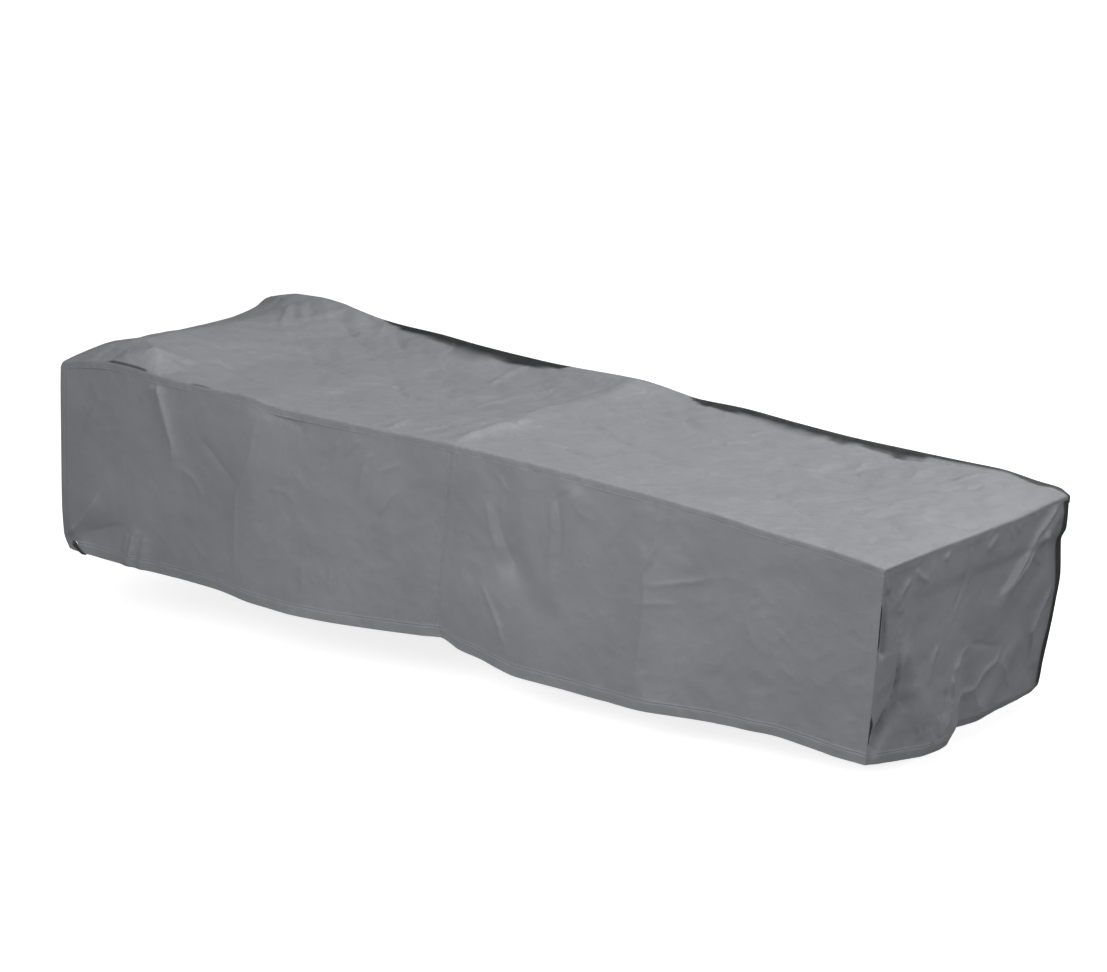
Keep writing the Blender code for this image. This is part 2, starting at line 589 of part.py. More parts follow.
def ring_mesh(name, profile, sides):
    """Turn a closed profile of (radius, out) points round the out axis."""
    places, faces = [], []
    for n in range(sides):
        turn = 2 * math.pi * n / sides
        places += [(r * math.cos(turn), r * math.sin(turn), out) for r, out in profile]
    size = len(profile)
    for n in range(sides):
        for k in range(size):
            here, ahead = n * size, (n + 1) % sides * size
            faces.append([here + k, ahead + k, ahead + (k + 1) % size, here + (k + 1) % size])
    mesh = bpy.data.meshes.new(name)
    mesh.from_pydata(places, [], faces)
    turned = bmesh.new()
    turned.from_mesh(mesh)
    bmesh.ops.recalc_face_normals(turned, faces=turned.faces[:])
    turned.to_mesh(mesh)
    turned.free()
    mesh.shade_smooth()
    mesh.set_sharp_from_angle(angle=math.radians(35))
    return mesh


def eyelet_object(name, frame, finish):
    """A flanged eyelet, pressed through the cloth from both faces."""
    top = EYELET_CLEAR + EYELET_METAL
    barrel = EYELET_BORE + EYELET_METAL
    edge = EYELET_FLANGE - EYELET_METAL / 2
    under = -CLOTH - EYELET_CLEAR
    profile = (
        (EYELET_BORE, top), (edge, top), (EYELET_FLANGE, top - EYELET_METAL / 2),
        (EYELET_FLANGE, EYELET_CLEAR), (barrel, EYELET_CLEAR), (barrel, under),
        (EYELET_FLANGE, under), (EYELET_FLANGE, under - EYELET_METAL / 2),
        (edge, under - EYELET_METAL), (EYELET_BORE, under - EYELET_METAL),
    )
    made = add_object(name, ring_mesh(name, profile, EYELET_SIDES), finish)
    made.matrix_world = frame
    return made


def pierce(panel, frame, name):
    """Cut the eyelet's hole through its panel."""
    radius = EYELET_BORE + EYELET_METAL + EYELET_CLEAR
    mesh = bpy.data.meshes.new(name)
    drill = bmesh.new()
    bmesh.ops.create_cone(drill, cap_ends=True, segments=EYELET_SIDES, radius1=radius,
                          radius2=radius, depth=4 * CLOTH,
                          matrix=Matrix.Translation((0, 0, -CLOTH / 2)))
    drill.to_mesh(mesh)
    drill.free()
    cutter = bpy.data.objects.new(name, mesh)
    bpy.context.scene.collection.objects.link(cutter)
    cutter.matrix_world = frame
    cutter.hide_render = True
    cutter.display_type = "WIRE"
    hole = panel.modifiers.new(name, "BOOLEAN")
    hole.object = cutter
    hole.operation = "DIFFERENCE"


def closed_curve(points, count):
    """Even steps along a smooth closed curve through these points."""
    fine = []
    size = len(points)
    for n in range(size):
        before, here, ahead, beyond = (points[(n + k) % size] for k in (-1, 0, 1, 2))
        for k in range(20):
            t = k / 20
            fine.append(0.5 * (2 * here + (ahead - before) * t
                               + (2 * before - 5 * here + 4 * ahead - beyond) * t * t
                               + (3 * here - before - 3 * ahead + beyond) * t ** 3))
    runs = [(fine[(n + 1) % len(fine)] - fine[n]).length for n in range(len(fine))]
    reach = np.concatenate([[0.0], np.cumsum(runs)])
    loop = np.array([list(p) for p in fine] + [list(fine[0])])
    even = np.linspace(0.0, reach[-1], count, endpoint=False)
    return np.stack([np.interp(even, reach, loop[:, axis]) for axis in range(3)], axis=-1)


def cord_object(name, frames, finish):
    """The closed loop of cord, as a round tube along its route."""
    route = []
    for eyelet, along, down, out in CORD_ROUTE:
        frame, away = frames[eyelet]
        route.append(frame @ (Vector((away * along, down, out)) / 1000))
    curve = bpy.data.curves.new(name, "CURVE")
    curve.dimensions = "3D"
    curve.bevel_depth = CORD_RADIUS
    curve.bevel_resolution = 2
    spline = curve.splines.new("POLY")
    places = closed_curve(route, CORD_POINTS)
    spline.points.add(len(places) - 1)
    for point, place in zip(spline.points, places):
        point.co = (*place, 1.0)
    spline.use_cyclic_u = True
    return add_object(name, curve, finish)


def build():
    """Model the cover."""
    cloth = material("slate_cloth", SLATE, 0.62)
    steel = material("nickel_steel", STEEL, 0.30, 1.0)
    elastic = material("black_elastic", BLACK, 0.75)
    lift = held_point()
    sheets, cells = cut_panels()
    panels = {name: panel_object(name, sheet, lift, cloth) for name, sheet in sheets.items()}
    frames = {}
    for name, (wall, panel, _, _) in EYELETS.items():
        frames[name] = eyelet_frame(wall, cells[name], lift)
        eyelet_object(name, frames[name][0], steel)
        pierce(panels[panel], frames[name][0], "hole_" + name)
    cord_object("corner_cord", frames, elastic)


for old in list(bpy.data.objects):
    bpy.data.objects.remove(old)
build()
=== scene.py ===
# %% [markdown]
# # A fitted weather cover
# The real object is a weather cover of coated cloth: a top, side walls in two halves, an end wall
# at the head and one at the foot, sewn with lapped seams and turned hems. It is shown as it hangs
# in use, hollow underneath. The first cell loads the measured solids, which fix the size of all
# that follows.

# %% Load the measured solids
import math

import bpy
import numpy as np
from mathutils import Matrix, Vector


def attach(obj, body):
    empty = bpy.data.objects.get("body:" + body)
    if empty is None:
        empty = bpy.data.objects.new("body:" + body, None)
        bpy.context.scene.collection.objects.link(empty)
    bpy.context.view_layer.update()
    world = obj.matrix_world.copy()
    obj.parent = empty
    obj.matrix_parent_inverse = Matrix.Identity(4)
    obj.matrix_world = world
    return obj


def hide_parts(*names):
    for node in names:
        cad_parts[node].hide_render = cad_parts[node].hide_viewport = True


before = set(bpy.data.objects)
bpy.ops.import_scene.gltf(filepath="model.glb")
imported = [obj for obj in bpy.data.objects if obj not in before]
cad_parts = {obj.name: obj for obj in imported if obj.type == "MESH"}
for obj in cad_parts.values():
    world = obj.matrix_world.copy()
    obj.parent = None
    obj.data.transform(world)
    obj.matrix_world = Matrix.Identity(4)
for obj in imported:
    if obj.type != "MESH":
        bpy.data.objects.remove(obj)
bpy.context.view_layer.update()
print("solids:", sorted(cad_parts))

# %% [markdown]
# The camera stands about ten metres off with a long lens, as for a catalogue picture, so the
# cover's long edges run nearly parallel. Its place was worked out from where the cover's corners
# lie in the picture. The origin is where the cover is held, under the middle of its top, so the
# ground is 547 mm below it.

# %% Camera
GROUND = -0.5474250
AZIMUTH, ELEVATION, DISTANCE = math.radians(36.0133), math.radians(13.6723), 10.1096
AIM = Vector((-0.2113, 0.3010, 0.3000 + GROUND))
FOCAL_PX, WIDTH_PX = 4616.5, 1107    # the lens in pixels, and the picture's width

towards = Vector((math.sin(AZIMUTH) * math.cos(ELEVATION),
                  -math.cos(AZIMUTH) * math.cos(ELEVATION), math.sin(ELEVATION)))
camera_data = bpy.data.cameras.new("camera")
camera_data.sensor_width = 36.0
camera_data.lens = FOCAL_PX / WIDTH_PX * camera_data.sensor_width
camera = bpy.data.objects.new("camera", camera_data)
bpy.context.scene.collection.objects.link(camera)
camera.location = AIM + towards * DISTANCE
camera.rotation_euler = (-towards).to_track_quat("-Z", "Y").to_euler()
bpy.context.scene.camera = camera
print("lens %.1f mm" % camera_data.lens)

# %% [markdown]
# The cover's shape is held in short tables, the same ones that the solids were cut from. They are
# written in millimetres because those are easier to read and type, and turned to metres at once,
# Blender's own unit. Heights are above the ground.

# %% Sizes
def mm(text):
    """The rows of a table in metres, from millimetres: a comma ends a row, spaces part numbers."""
    return [[float(number) / 1000 for number in row.split()] for row in text.split(",")]


HALF_LENGTH = 1.050
HALF_WIDTH = 0.354
TOP_LAP = 0.015          # the top's turned edge, down each wall
CORNER_LAP = 0.017       # an end wall's turned edge, round each vertical corner
SKIRT = 0.400            # cut height of the walls
SEAM_BLEND = 0.035       # folds die out over this distance from an edge that two walls share

SKEW = {"front": 0.012, "back": -0.019}          # how far a rim's middle is pulled along X
HEM_SKEW = {"front": -0.0165, "back": 0.010}     # and a hem's middle
PLANES = {"front": (1, -1), "back": (1, 1), "head": (0, -1), "foot": (0, 1)}  # axis and way out
print("top %.3f x %.3f m" % (2 * HALF_LENGTH, 2 * HALF_WIDTH))

# %% [markdown]
# A cover that is pulled over something has no straight edges. Its rims and hems rise and fall, and
# its corners lean, as these rows say. They were read off the picture every few centimetres.

# %% Rims, hems and corners
RIMS = {
    # place along the edge, height
    "front": mm("""
        -1050 586, -1020 591.5, -986 596, -951 599.5, -915 602, -883 601, -837 597.5, -815 594.2,
        -793 590, -745 587.5, -662 582.5, -606 580.2, -552 579, -524 577, -503 573.5, -482 568.5,
        -443 563.5, -389 561, -283 557, -177 553.5, -125 551.5, -22 549, 80 544, 181 537.5,
        281 531, 379 523, 477 514.5, 573 505, 668 495, 762 482, 855 472, 947 461, 1050 444
    """),
    "back": mm("""
        -1050 616, -1022 622, -963 632, -904 632, -847 627, -789 615, -732 604, -675 597, -562 589,
        -451 577, -341 568, -232 561, -72 557, -19 555, 34 549, 86 540, 138 532, 242 528, 394 513,
        544 500, 643 495, 788 488, 884 484, 979 470, 1026 464, 1050 451
    """),
    "head": mm("""
        -354 586, -300 594, -230 600, -100 596, 30 591, 160 590, 200 590, 255 594, 300 601,
        335 614, 354 616
    """),
    "foot": mm("""
        -354 444, -154 445.5, 0 444, 150 444, 293 450, 354 451
    """),
}
HEMS = {
    # place along the edge, how far out from the wall's plane, height
    "front": mm("""
        -1045 0 171, -1028 2 168, -982 4 164, -880 4 157, -756 0 150, -616 6 144, -506 10 131,
        -397 12 125, -289 10 124, -182 6 126, -77 0 129, -33 -4 130, 27 0 114, 78 4 106, 129 8 94,
        180 10 85, 281 14 81, 381 16 75, 479 16 71, 576 12 71, 673 8 72, 767 4 72, 861 2 62,
        954 1 50, 1012 0 46
    """),
    "back": mm("""
        -1045 0 212, -900 4 205, -700 10 196, -450 12 176, -200 4 163, 0 -2 158, 200 8 128,
        450 14 104, 700 8 78, 880 4 47, 972 0 22
    """),
    "head": mm("""
        -354 0 171, -300 4 176, -150 12 182, 20 14 186, 200 10 196, 354 0 212
    """),
    "foot": mm("""
        -354 0 46, -300 4 36, -238 17 30, -180 31 27, -104 33 28, -50 22 33, 5 18 34, 99 16 32,
        195 13 29, 293 6 25, 354 0 22
    """),
}
CORNERS = {
    # how far down (0 top, 1 hem), X past the top's corner, Y past the wall's plane
    ("head", "front"): (
        (0, 0, 0), (0.05, -0.009, 0), (0.45, -0.013, 0), (0.75, -0.015, 0), (0.92, -0.011, 0),
        (1, 0.005, 0),
    ),
    ("head", "back"): (
        (0, 0, 0), (0.1, -0.006, 0.002), (0.6, -0.01, 0.006), (1, 0.005, 0),
    ),
    ("foot", "front"): (
        (0, 0, 0), (0.25, -0.01, -0.001), (0.5, -0.019, -0.003), (0.75, -0.028, -0.002),
        (1, -0.038, 0),
    ),
    ("foot", "back"): (
        (0, 0, 0), (0.16, -0.006, 0.002), (0.22, -0.015, -0.003), (0.38, -0.016, 0),
        (0.52, -0.025, 0), (0.66, -0.036, 0), (0.84, -0.053, 0.001), (0.95, -0.062, 0.001),
        (1, -0.078, 0),
    ),
}
print("rows of the edges:", {face: len(RIMS[face]) + len(HEMS[face]) for face in RIMS})

# %% [markdown]
# Inside its edges the top sags a little on both sides of a cross ridge, and its back edge stands up
# as a taut rail with a groove in front of it. The folds are the large ones only, each a soft ridge
# or trough along a straight line.

# %% Sag and main folds
# along, depth of the sag at mid width, depth of the groove
TOP_RELIEF = mm("""
    -1050 0 0, -990 -2 0, -930 -4 0, -860 4 3, -740 16 8, -600 25 12, -420 29 11, -240 20 9,
    -100 7 4, -5 0 0, 110 7 7, 250 13 11, 450 16 12, 650 15 11, 850 10 10, 980 3 5, 1050 0 0
""")
GROOVE_RISE = 0.018      # the groove falls from the back edge over this distance
GROOVE_FADE = 0.060      # and fades out into the top over this one
FOLDS = {
    # start and end (along and height, or X and Y on the top), half width, height at each end
    "top": mm("""
        12 -340 -19 340 22 4 5, -330 -200 -60 300 50 -4 -3, 110 60 420 -80 40 4 3,
        640 -250 960 -300 40 -4 -4
    """),
    "front": mm("""
        -781 560 -744 400 22 7 2, -1020 220 -930 330 28 9 3, -985 205 -900 230 28 -6 -3,
        -873 165 -855 230 14 7 3, -837 160 -820 215 13 6 2, -520 520 -545 160 55 4 6,
        -395 340 -395 130 150 4 8, 0 420 -33 140 30 -3 -6, 133 480 160 320 34 -5 -6,
        160 320 235 240 34 -6 -3, 315 480 262 270 34 6 4, 510 460 504 100 60 3 9,
        757 400 760 90 40 2 8
    """),
    "back": mm("""
        -900 580 -860 260 50 6 9, -560 500 -540 200 70 3 8, -250 500 -280 190 50 -5 -7,
        20 420 10 160 30 -3 -6, 280 460 330 120 70 4 10, 560 420 540 110 50 -4 -7,
        820 400 860 80 60 4 9
    """),
    "head": mm("""
        -200 560 -230 200 50 5 9, -50 500 -20 200 50 -4 -8, 140 540 120 210 60 4 10,
        260 560 240 240 30 -5 -4
    """),
    "foot": mm("""
        -336 385 -336 270 10 -14 -20, -262 150 -328 85 20 -6 -30, -254 370 -262 250 28 5 6,
        -262 250 -200 120 30 6 8, -150 240 -120 60 80 6 12, -10 420 -70 290 22 -3 -3,
        -66 180 -70 70 22 8 10, 0 150 -10 40 30 -6 -12, 320 418 258 382 15 4 7,
        258 382 117 281 16 7 4, 300 345 150 230 24 -4 -3, 330 250 296 110 22 5 8,
        190 170 80 60 32 7 9
    """),
}
print("main folds:", {face: len(rows) for face, rows in FOLDS.items()})

# %% [markdown]
# A few helpers turn the tables into places on the hanging cloth. A smooth curve joins a table's
# rows without ever overshooting one. Then each edge is a line of places, and the surface between
# four edges is a blend of them, the same that a maker gets by stretching cloth on a bent frame.

# %% Read the tables
def smooth(t):
    """Ease from 0 to 1."""
    t = np.clip(t, 0.0, 1.0)
    return t * t * (3.0 - 2.0 * t)


def read(rows, column, at):
    """Read one column of a table at any place, on a smooth curve that never overshoots a row."""
    table = np.array(rows, dtype=float)
    x = table[:, 0]
    y = table[:, column]
    step = np.diff(x)
    slope = np.diff(y) / step
    tangent = np.zeros_like(y)
    same_way = slope[:-1] * slope[1:] > 0.0
    mean = 2.0 * slope[:-1] * slope[1:] / np.where(same_way, slope[:-1] + slope[1:], 1.0)
    tangent[1:-1] = np.where(same_way, mean, 0.0)
    tangent[0] = slope[0]
    tangent[-1] = slope[-1]
    at = np.clip(at, x[0], x[-1])
    i = np.clip(np.searchsorted(x, at) - 1, 0, len(x) - 2)
    t = (at - x[i]) / step[i]
    h = step[i]
    return ((1 + 2 * t) * (1 - t) ** 2 * y[i] + t * (1 - t) ** 2 * h * tangent[i]
            + t * t * (3 - 2 * t) * y[i + 1] + t * t * (t - 1) * h * tangent[i + 1])


def rim(face, s):
    """Points of a top edge; s runs from 0 to 1 along +X or +Y."""
    axis, sign = PLANES[face]
    if axis == 1:
        x = -HALF_LENGTH + 2 * HALF_LENGTH * s + 4 * SKEW[face] * s * (1 - s)
        return np.stack([x, np.full_like(s, sign * HALF_WIDTH), read(RIMS[face], 1, x)], axis=-1)
    y = -HALF_WIDTH + 2 * HALF_WIDTH * s
    return np.stack([np.full_like(s, sign * HALF_LENGTH), y, read(RIMS[face], 1, y)], axis=-1)


def hem(face, s):
    """Points of a bottom edge; s runs from 0 to 1 along +X or +Y."""
    axis, sign = PLANES[face]
    rows = HEMS[face]
    along = rows[0][0] + (rows[-1][0] - rows[0][0]) * s
    if axis == 1:
        x = along + 4 * HEM_SKEW[face] * s * (1 - s)
        y = sign * (HALF_WIDTH + read(rows, 1, x))
        return np.stack([x, y, read(rows, 2, x)], axis=-1)
    first, last = (corner(face, side, np.ones(1))[0, 0] for side in ("front", "back"))
    x = first + (last - first) * s + sign * read(rows, 1, along)
    return np.stack([x, along, read(rows, 2, along)], axis=-1)


def corner(end, side, down):
    """Points of a vertical corner; down runs from 0 at the top to 1 at the hem."""
    rows, pick = CORNERS[end, side], (0 if end == "head" else -1)
    top, bottom = RIMS[side][pick][1], HEMS[side][pick][2]
    x = PLANES[end][1] * HALF_LENGTH + read(rows, 1, down)
    y = PLANES[side][1] * (HALF_WIDTH + read(rows, 2, down))
    return np.stack([x, y, top + (bottom - top) * down], axis=-1)


print("front corners at the hem:", corner("head", "front", np.ones(1)).round(3),
      corner("foot", "front", np.ones(1)).round(3))

# %% [markdown]
# The walls and the top are each such a blend, with the folds added where the cloth is free to
# move. A fold dies out before it reaches an edge that two panels share, so that they still meet.

# %% Places on the walls and the top
def relief(face, p, q):
    """How far the folds of a face stand out at the places (p, q)."""
    total = np.zeros_like(p)
    for p0, q0, p1, q1, half_width, from_out, to_out in FOLDS[face]:
        run = math.hypot(p1 - p0, q1 - q0)
        t = ((p - p0) * (p1 - p0) + (q - q0) * (q1 - q0)) / run ** 2
        t = np.clip(t, 0.0, 1.0)
        apart = np.hypot(p - p0 - t * (p1 - p0), q - q0 - t * (q1 - q0))
        total += (from_out + (to_out - from_out) * t) * np.exp(-(apart / half_width) ** 2)
    return total


def wall_points(face, s, down):
    """Outer points of a wall at fractions s along it and down from the top edge to the hem."""
    if face in ("front", "back"):
        run = 2 * HALF_LENGTH
        first, last = corner("head", face, down), corner("foot", face, down)
    else:
        run = 2 * HALF_WIDTH
        first, last = corner(face, "front", down), corner(face, "back", down)
    top, bottom = rim(face, s), hem(face, s)
    zero, one = np.zeros(1), np.ones(1)
    s, down = s[..., None], down[..., None]
    points = top * (1 - down) + bottom * down + first * (1 - s) + last * s
    points -= (rim(face, zero) * (1 - s) + rim(face, one) * s) * (1 - down)
    points -= (hem(face, zero) * (1 - s) + hem(face, one) * s) * down
    s, down = s[..., 0], down[..., 0]
    blend = smooth(s * run / SEAM_BLEND) * smooth((1 - s) * run / SEAM_BLEND)
    blend *= smooth(down * SKIRT / SEAM_BLEND)
    axis, sign = PLANES[face]
    points[..., axis] += sign * blend * relief(face, points[..., 1 - axis], points[..., 2])
    return points


def top_points(a, b):
    """Outer points of the top at fractions a from head to foot and b from front to back."""
    front, back, head, foot = rim("front", a), rim("back", a), rim("head", b), rim("foot", b)
    zero, one = np.zeros(1), np.ones(1)
    corners = {(i, j): rim(face, end) for (i, j), face, end in (
        ((0, 0), "front", zero), ((1, 0), "front", one),
        ((0, 1), "back", zero), ((1, 1), "back", one))}
    u, v = a[..., None], b[..., None]
    points = front * (1 - v) + back * v + head * (1 - u) + foot * u
    points -= corners[0, 0] * (1 - u) * (1 - v) + corners[1, 0] * u * (1 - v)
    points -= corners[0, 1] * (1 - u) * v + corners[1, 1] * u * v
    x, y = points[..., 0], points[..., 1]
    across = np.clip(np.abs(2 * b - 1), 0, 1)
    inside = HALF_WIDTH - y
    groove = smooth(inside / GROOVE_RISE) * np.exp(-(inside / GROOVE_FADE) ** 2)
    edge = smooth((HALF_WIDTH - np.abs(y)) / SEAM_BLEND)
    edge = edge * smooth((HALF_LENGTH - np.abs(x)) / SEAM_BLEND)
    points[..., 2] -= read(TOP_RELIEF, 1, x) * (1 - across ** 3)
    points[..., 2] -= read(TOP_RELIEF, 2, x) * groove
    points[..., 2] += edge * relief("top", x, y)
    return points


middle = top_points(np.array([0.5]), np.array([0.5]))[0]
print("height of the top's middle above the ground: %.3f m" % middle[2])

# %% [markdown]
# On top of the main folds the real cloth has finer marks: the creases left from how it was packed,
# pulls that fan out from corners, and small puckers. Each crease here is one row: its half width,
# how far it stands out or sinks in, and the few places that it passes through. A sharp top with
# hollow flanks looks like stretched coated cloth, where a rounded bump would look like rubber.

# %% Fine creases
CREASES = {
    # half width, height, then places: x and y on the top, x or y and the height on a wall
    "front": mm("""
        7 3.5 -784 582 -771 536 -756 483 -743 439 -747 399, 9 1.6 -719 394 -683 377 -651 333,
        8 2.2 -828 526 -819 547 -787 573, 9 1.5 -945 528 -978 462 -994 431,
        12 4 -1054 198 -1009 230 -976 270 -943 320, 8 -1.5 -986 215 -919 238 -882 242,
        6 2 -873 232 -889 180, 6 1.6 -859 227 -867 170, 6 2 -825 226 -844 169,
        7 1.4 -500 552 -527 440 -564 354 -568 174, 10 -1.4 -664 469 -596 411 -553 376,
        14 -3 -481 552 -390 530 -374 504, 8 1.6 -332 480 -281 515, 8 1.6 -273 486 -225 529,
        8 1.8 -237 415 -215 484 -183 507, 8 1.8 -216 390 -176 464 -118 491,
        7 1.8 -185 369 -131 436, 8 1.2 -476 387 -427 387 -401 363,
        8 1.3 -478 265 -429 305 -417 335, 7 1 -306 250 -307 182, 7 1 -378 245 -380 171,
        8 1.6 113 509 148 466, 8 -2.2 118 440 125 391 151 332 168 301,
        8 1.6 95 443 105 382 130 323, 8 -2 313 500 276 470 286 430 286 361 264 301,
        8 1.6 259 467 264 406 251 320, 7 2.2 79 266 104 228 125 189 150 130,
        7 1.8 525 496 514 408 490 357 495 296 486 218 472 91, 8 -1.4 544 488 533 411 507 350,
        6 1.4 509 329 574 344 653 362, 7 1 478 287 575 303
    """),
    "top": mm("""
        9 1.4 -948 300 -882 197 -842 138, 9 -1.2 -698 340 -633 299 -586 260,
        8 -1 -568 162 -483 92 -388 -3 -282 4, 9 -1.1 -771 -177 -722 -176 -599 -224,
        9 -0.9 -788 156 -707 83 -660 42, 9 -0.9 -794 298 -702 243 -668 228,
        8 -1.1 -906 312 -853 268, 8 1 -913 285 -839 222, 8 0.9 -885 337 -824 289,
        9 1 -495 -257 -435 -163 -337 -158, 8 1.2 -167 -327 -204 -208, 8 1 -166 -355 -196 -249,
        9 1.4 12 -323 17 -132 0 -20, 8 1.3 -59 -251 -27 -141 -35 9, 8 1 -229 22 -196 157 -153 263,
        7 -1 -186 -6 -92 24, 9 1 -311 204 -325 302 -304 340, 8 -1.1 25 -142 88 -185 138 -227,
        10 1.2 6 -337 8 -189 -29 2 -25 112 -44 241 -29 294 -13 327,
        8 -1.1 19 61 116 16 190 -16 379 -72 495 -98 583 -84, 11 -1.3 169 242 239 199 271 204,
        9 -0.9 301 152 371 143, 9 -1.2 405 129 481 146 553 141, 8 -0.9 550 115 622 174 669 235,
        9 -0.9 593 106 724 108 781 131, 8 -1.2 598 -77 695 -144 829 -224,
        8 -1 142 -177 213 -190 291 -229, 8 0.8 -3 182 89 201 172 174,
        8 -1.6 861 164 881 202 926 225, 8 -1.5 948 -31 993 -22 1045 -12,
        7 -1 894 -94 934 -126 963 -149, 7 -1.2 951 -186 980 -188 993 -164,
        8 -0.9 864 -151 917 -205, 8 -1.1 907 -236 951 -270, 8 -1 971 -276 936 -184,
        10 -3.4 626 337 670 330 718 331, 9 1 852 229 877 286 914 304, 9 0.9 939 282 982 246
    """),
    "foot": mm("""
        4.5 2.2 -346 434 -329 366 -321 295, 6 2.2 -251 409 -284 378 -293 346,
        5 1.6 -276 355 -291 339, 7 2.6 -233 423 -226 404 -184 383, 8 -3 -219 431 -187 432 -163 431,
        7 -3.4 -145 438 -124 437, 6 2.6 -112 429 -132 415, 7 3 -23 423 -22 374 -36 334,
        6 -2.2 -48 369 -60 329 -93 302, 10 2.6 71 427 29 397, 6 1.8 122 433 132 402,
        6 1.6 150 434 162 410, 8 5.2 313 443 262 412 228 391 203 361 170 334 125 304 90 282,
        7 3.6 230 380 216 361 196 333 148 309 107 285, 12 -2 251 401 222 373 193 349,
        5 1.6 211 360 283 314, 10 5 314 270 282 221 257 179 273 115,
        10 3.4 133 178 108 150 64 136 31 109 -91 115, 6 -1.6 -3 216 124 180,
        7 2.2 -11 215 -58 200 -92 180, 6 4.4 -95 173 -96 130 -106 83 -117 63,
        7 -3 -118 149 -127 86, 7 2.2 -150 252 -172 223 -185 173, 5 1.8 -209 100 -196 61,
        5 1.8 -197 106 -181 65, 5 1.8 -170 83 -158 45, 5 2 -145 104 -136 51,
        6 -3.4 -286 261 -278 196 -283 161 -295 144, 6 2.6 -279 248 -268 194 -270 152,
        8 -6 -299 148 -295 114 -313 89, 6 1.4 -280 308 -285 273, 7 1.8 42 106 63 56,
        7 1.6 128 150 208 65
    """),
    "back": mm("""
        7 1.4 -500 560 -530 430 -560 190, 8 1.8 520 480 500 300 490 110,
        8 -2 -150 520 -120 430 -140 330, 8 1.8 -300 540 -260 460 -250 380,
        7 1.6 150 500 120 420 140 350, 9 2.2 960 440 900 360 870 280,
        9 2.2 -980 580 -930 480 -920 400, 7 1.4 -700 350 -540 330 -420 350, 7 1.6 700 90 690 150,
        7 1.6 -800 210 -790 280
    """),
    "head": mm("""
        8 3 -335 560 -280 490 -250 400 -245 320, 8 2.6 330 580 270 500 240 400,
        7 1.8 -150 590 -120 520 -130 440, 7 -2 60 580 50 500 80 420,
        8 2.2 -325 220 -270 290 -230 350, 7 1.6 0 190 10 260, 7 1.4 -200 380 0 370 180 390,
        8 2 310 230 270 300
    """),
}
print("fine creases:", {face: len(rows) for face, rows in CREASES.items()})

# %% [markdown]
# The rows were read off the picture, which shows a crease's place well and its height badly. So
# the heights of a whole face are scaled together, until its creases catch the light as strongly
# as in the picture. The top is seen at a low angle and needs the most.

# %% How strongly the creases show
SHARPER = 0.66           # all the creases are narrower than they were read
THINNEST = {"top": 0.0060, "front": 0.0042, "foot": 0.0040, "back": 0.0060, "head": 0.0055}
CREASE_GAIN = {"top": 4.6, "front": 1.3, "foot": 1.5, "back": 1.6, "head": 1.6}
LIVELY = {"top": 1.1, "front": 0.40, "foot": 0.55, "back": 0.7, "head": 0.7}


def crease_relief(face, p, q):
    """How far the fine creases of a face stand out at the places (p, q)."""
    total = np.zeros_like(p)
    for half_width, height, *path in CREASES[face]:
        path = np.reshape(path, (-1, 2))
        half_width = max(SHARPER * half_width, THINNEST[face])
        reach = 5.0 * half_width
        near = ((p > path[:, 0].min() - reach) & (p < path[:, 0].max() + reach)
                & (q > path[:, 1].min() - reach) & (q < path[:, 1].max() + reach))
        here = np.stack([p[near], q[near]], axis=-1)
        steps = np.hypot(*np.diff(path, axis=0).T)
        apart = np.full(len(here), np.inf)
        passed = np.zeros(len(here))
        for k, step in enumerate(steps):
            way = (path[k + 1] - path[k]) / step
            t = np.clip((here - path[k]) @ way, 0.0, step)
            gap = np.hypot(*(here - path[k] - t[:, None] * way).T)
            closer = gap < apart
            apart = np.where(closer, gap, apart)
            passed = np.where(closer, steps[:k].sum() + t, passed)
        share = passed / steps.sum()
        taper = smooth(share * 4.0 + 0.25) * smooth((1.0 - share) * 3.0 + 0.1)
        sharp_backed = np.exp(0.3 - np.sqrt((apart / half_width) ** 2 + 0.09))
        total[near] += CREASE_GAIN[face] * height * taper * sharp_backed
    return total


sample = crease_relief("top", np.linspace(-1, 1, 400), np.zeros(400))
print("creases along the top's middle, in mm:", 1000 * sample.min(), 1000 * sample.max())

# %% [markdown]
# Between the creases no cloth is flat. Gradient noise gives soft swells: each corner of a grid has
# a slope in a random direction, and the heights between are eased from one to the next. The square
# root of a squared noise has sharp valleys, so subtracting it gives sharp-backed wrinkles. The
# seed of each noise is fixed, and the same cloth comes out on every run.

# %% Restless surface
def noise(p, q, size, seed):
    """Smooth random heights between about -1 and 1, whose bumps are about this size."""
    turns = np.random.default_rng(seed).uniform(0.0, 2 * math.pi, (64, 64))
    turn = 0.35 + 0.7 * seed
    u = (p * math.cos(turn) - q * math.sin(turn)) / size + 31.3
    v = (p * math.sin(turn) + q * math.cos(turn)) / size + 17.7
    i, j = np.floor(u).astype(int), np.floor(v).astype(int)
    u, v = u - i, v - j

    def pull(di, dj):
        way = turns[(i + di) % 64, (j + dj) % 64]
        return np.cos(way) * (u - di) + np.sin(way) * (v - dj)

    fu, fv = u ** 3 * (10 - 15 * u + 6 * u * u), v ** 3 * (10 - 15 * v + 6 * v * v)
    low = pull(0, 0) * (1 - fu) + pull(1, 0) * fu
    high = pull(0, 1) * (1 - fu) + pull(1, 1) * fu
    return 1.6 * (low * (1 - fv) + high * fv)


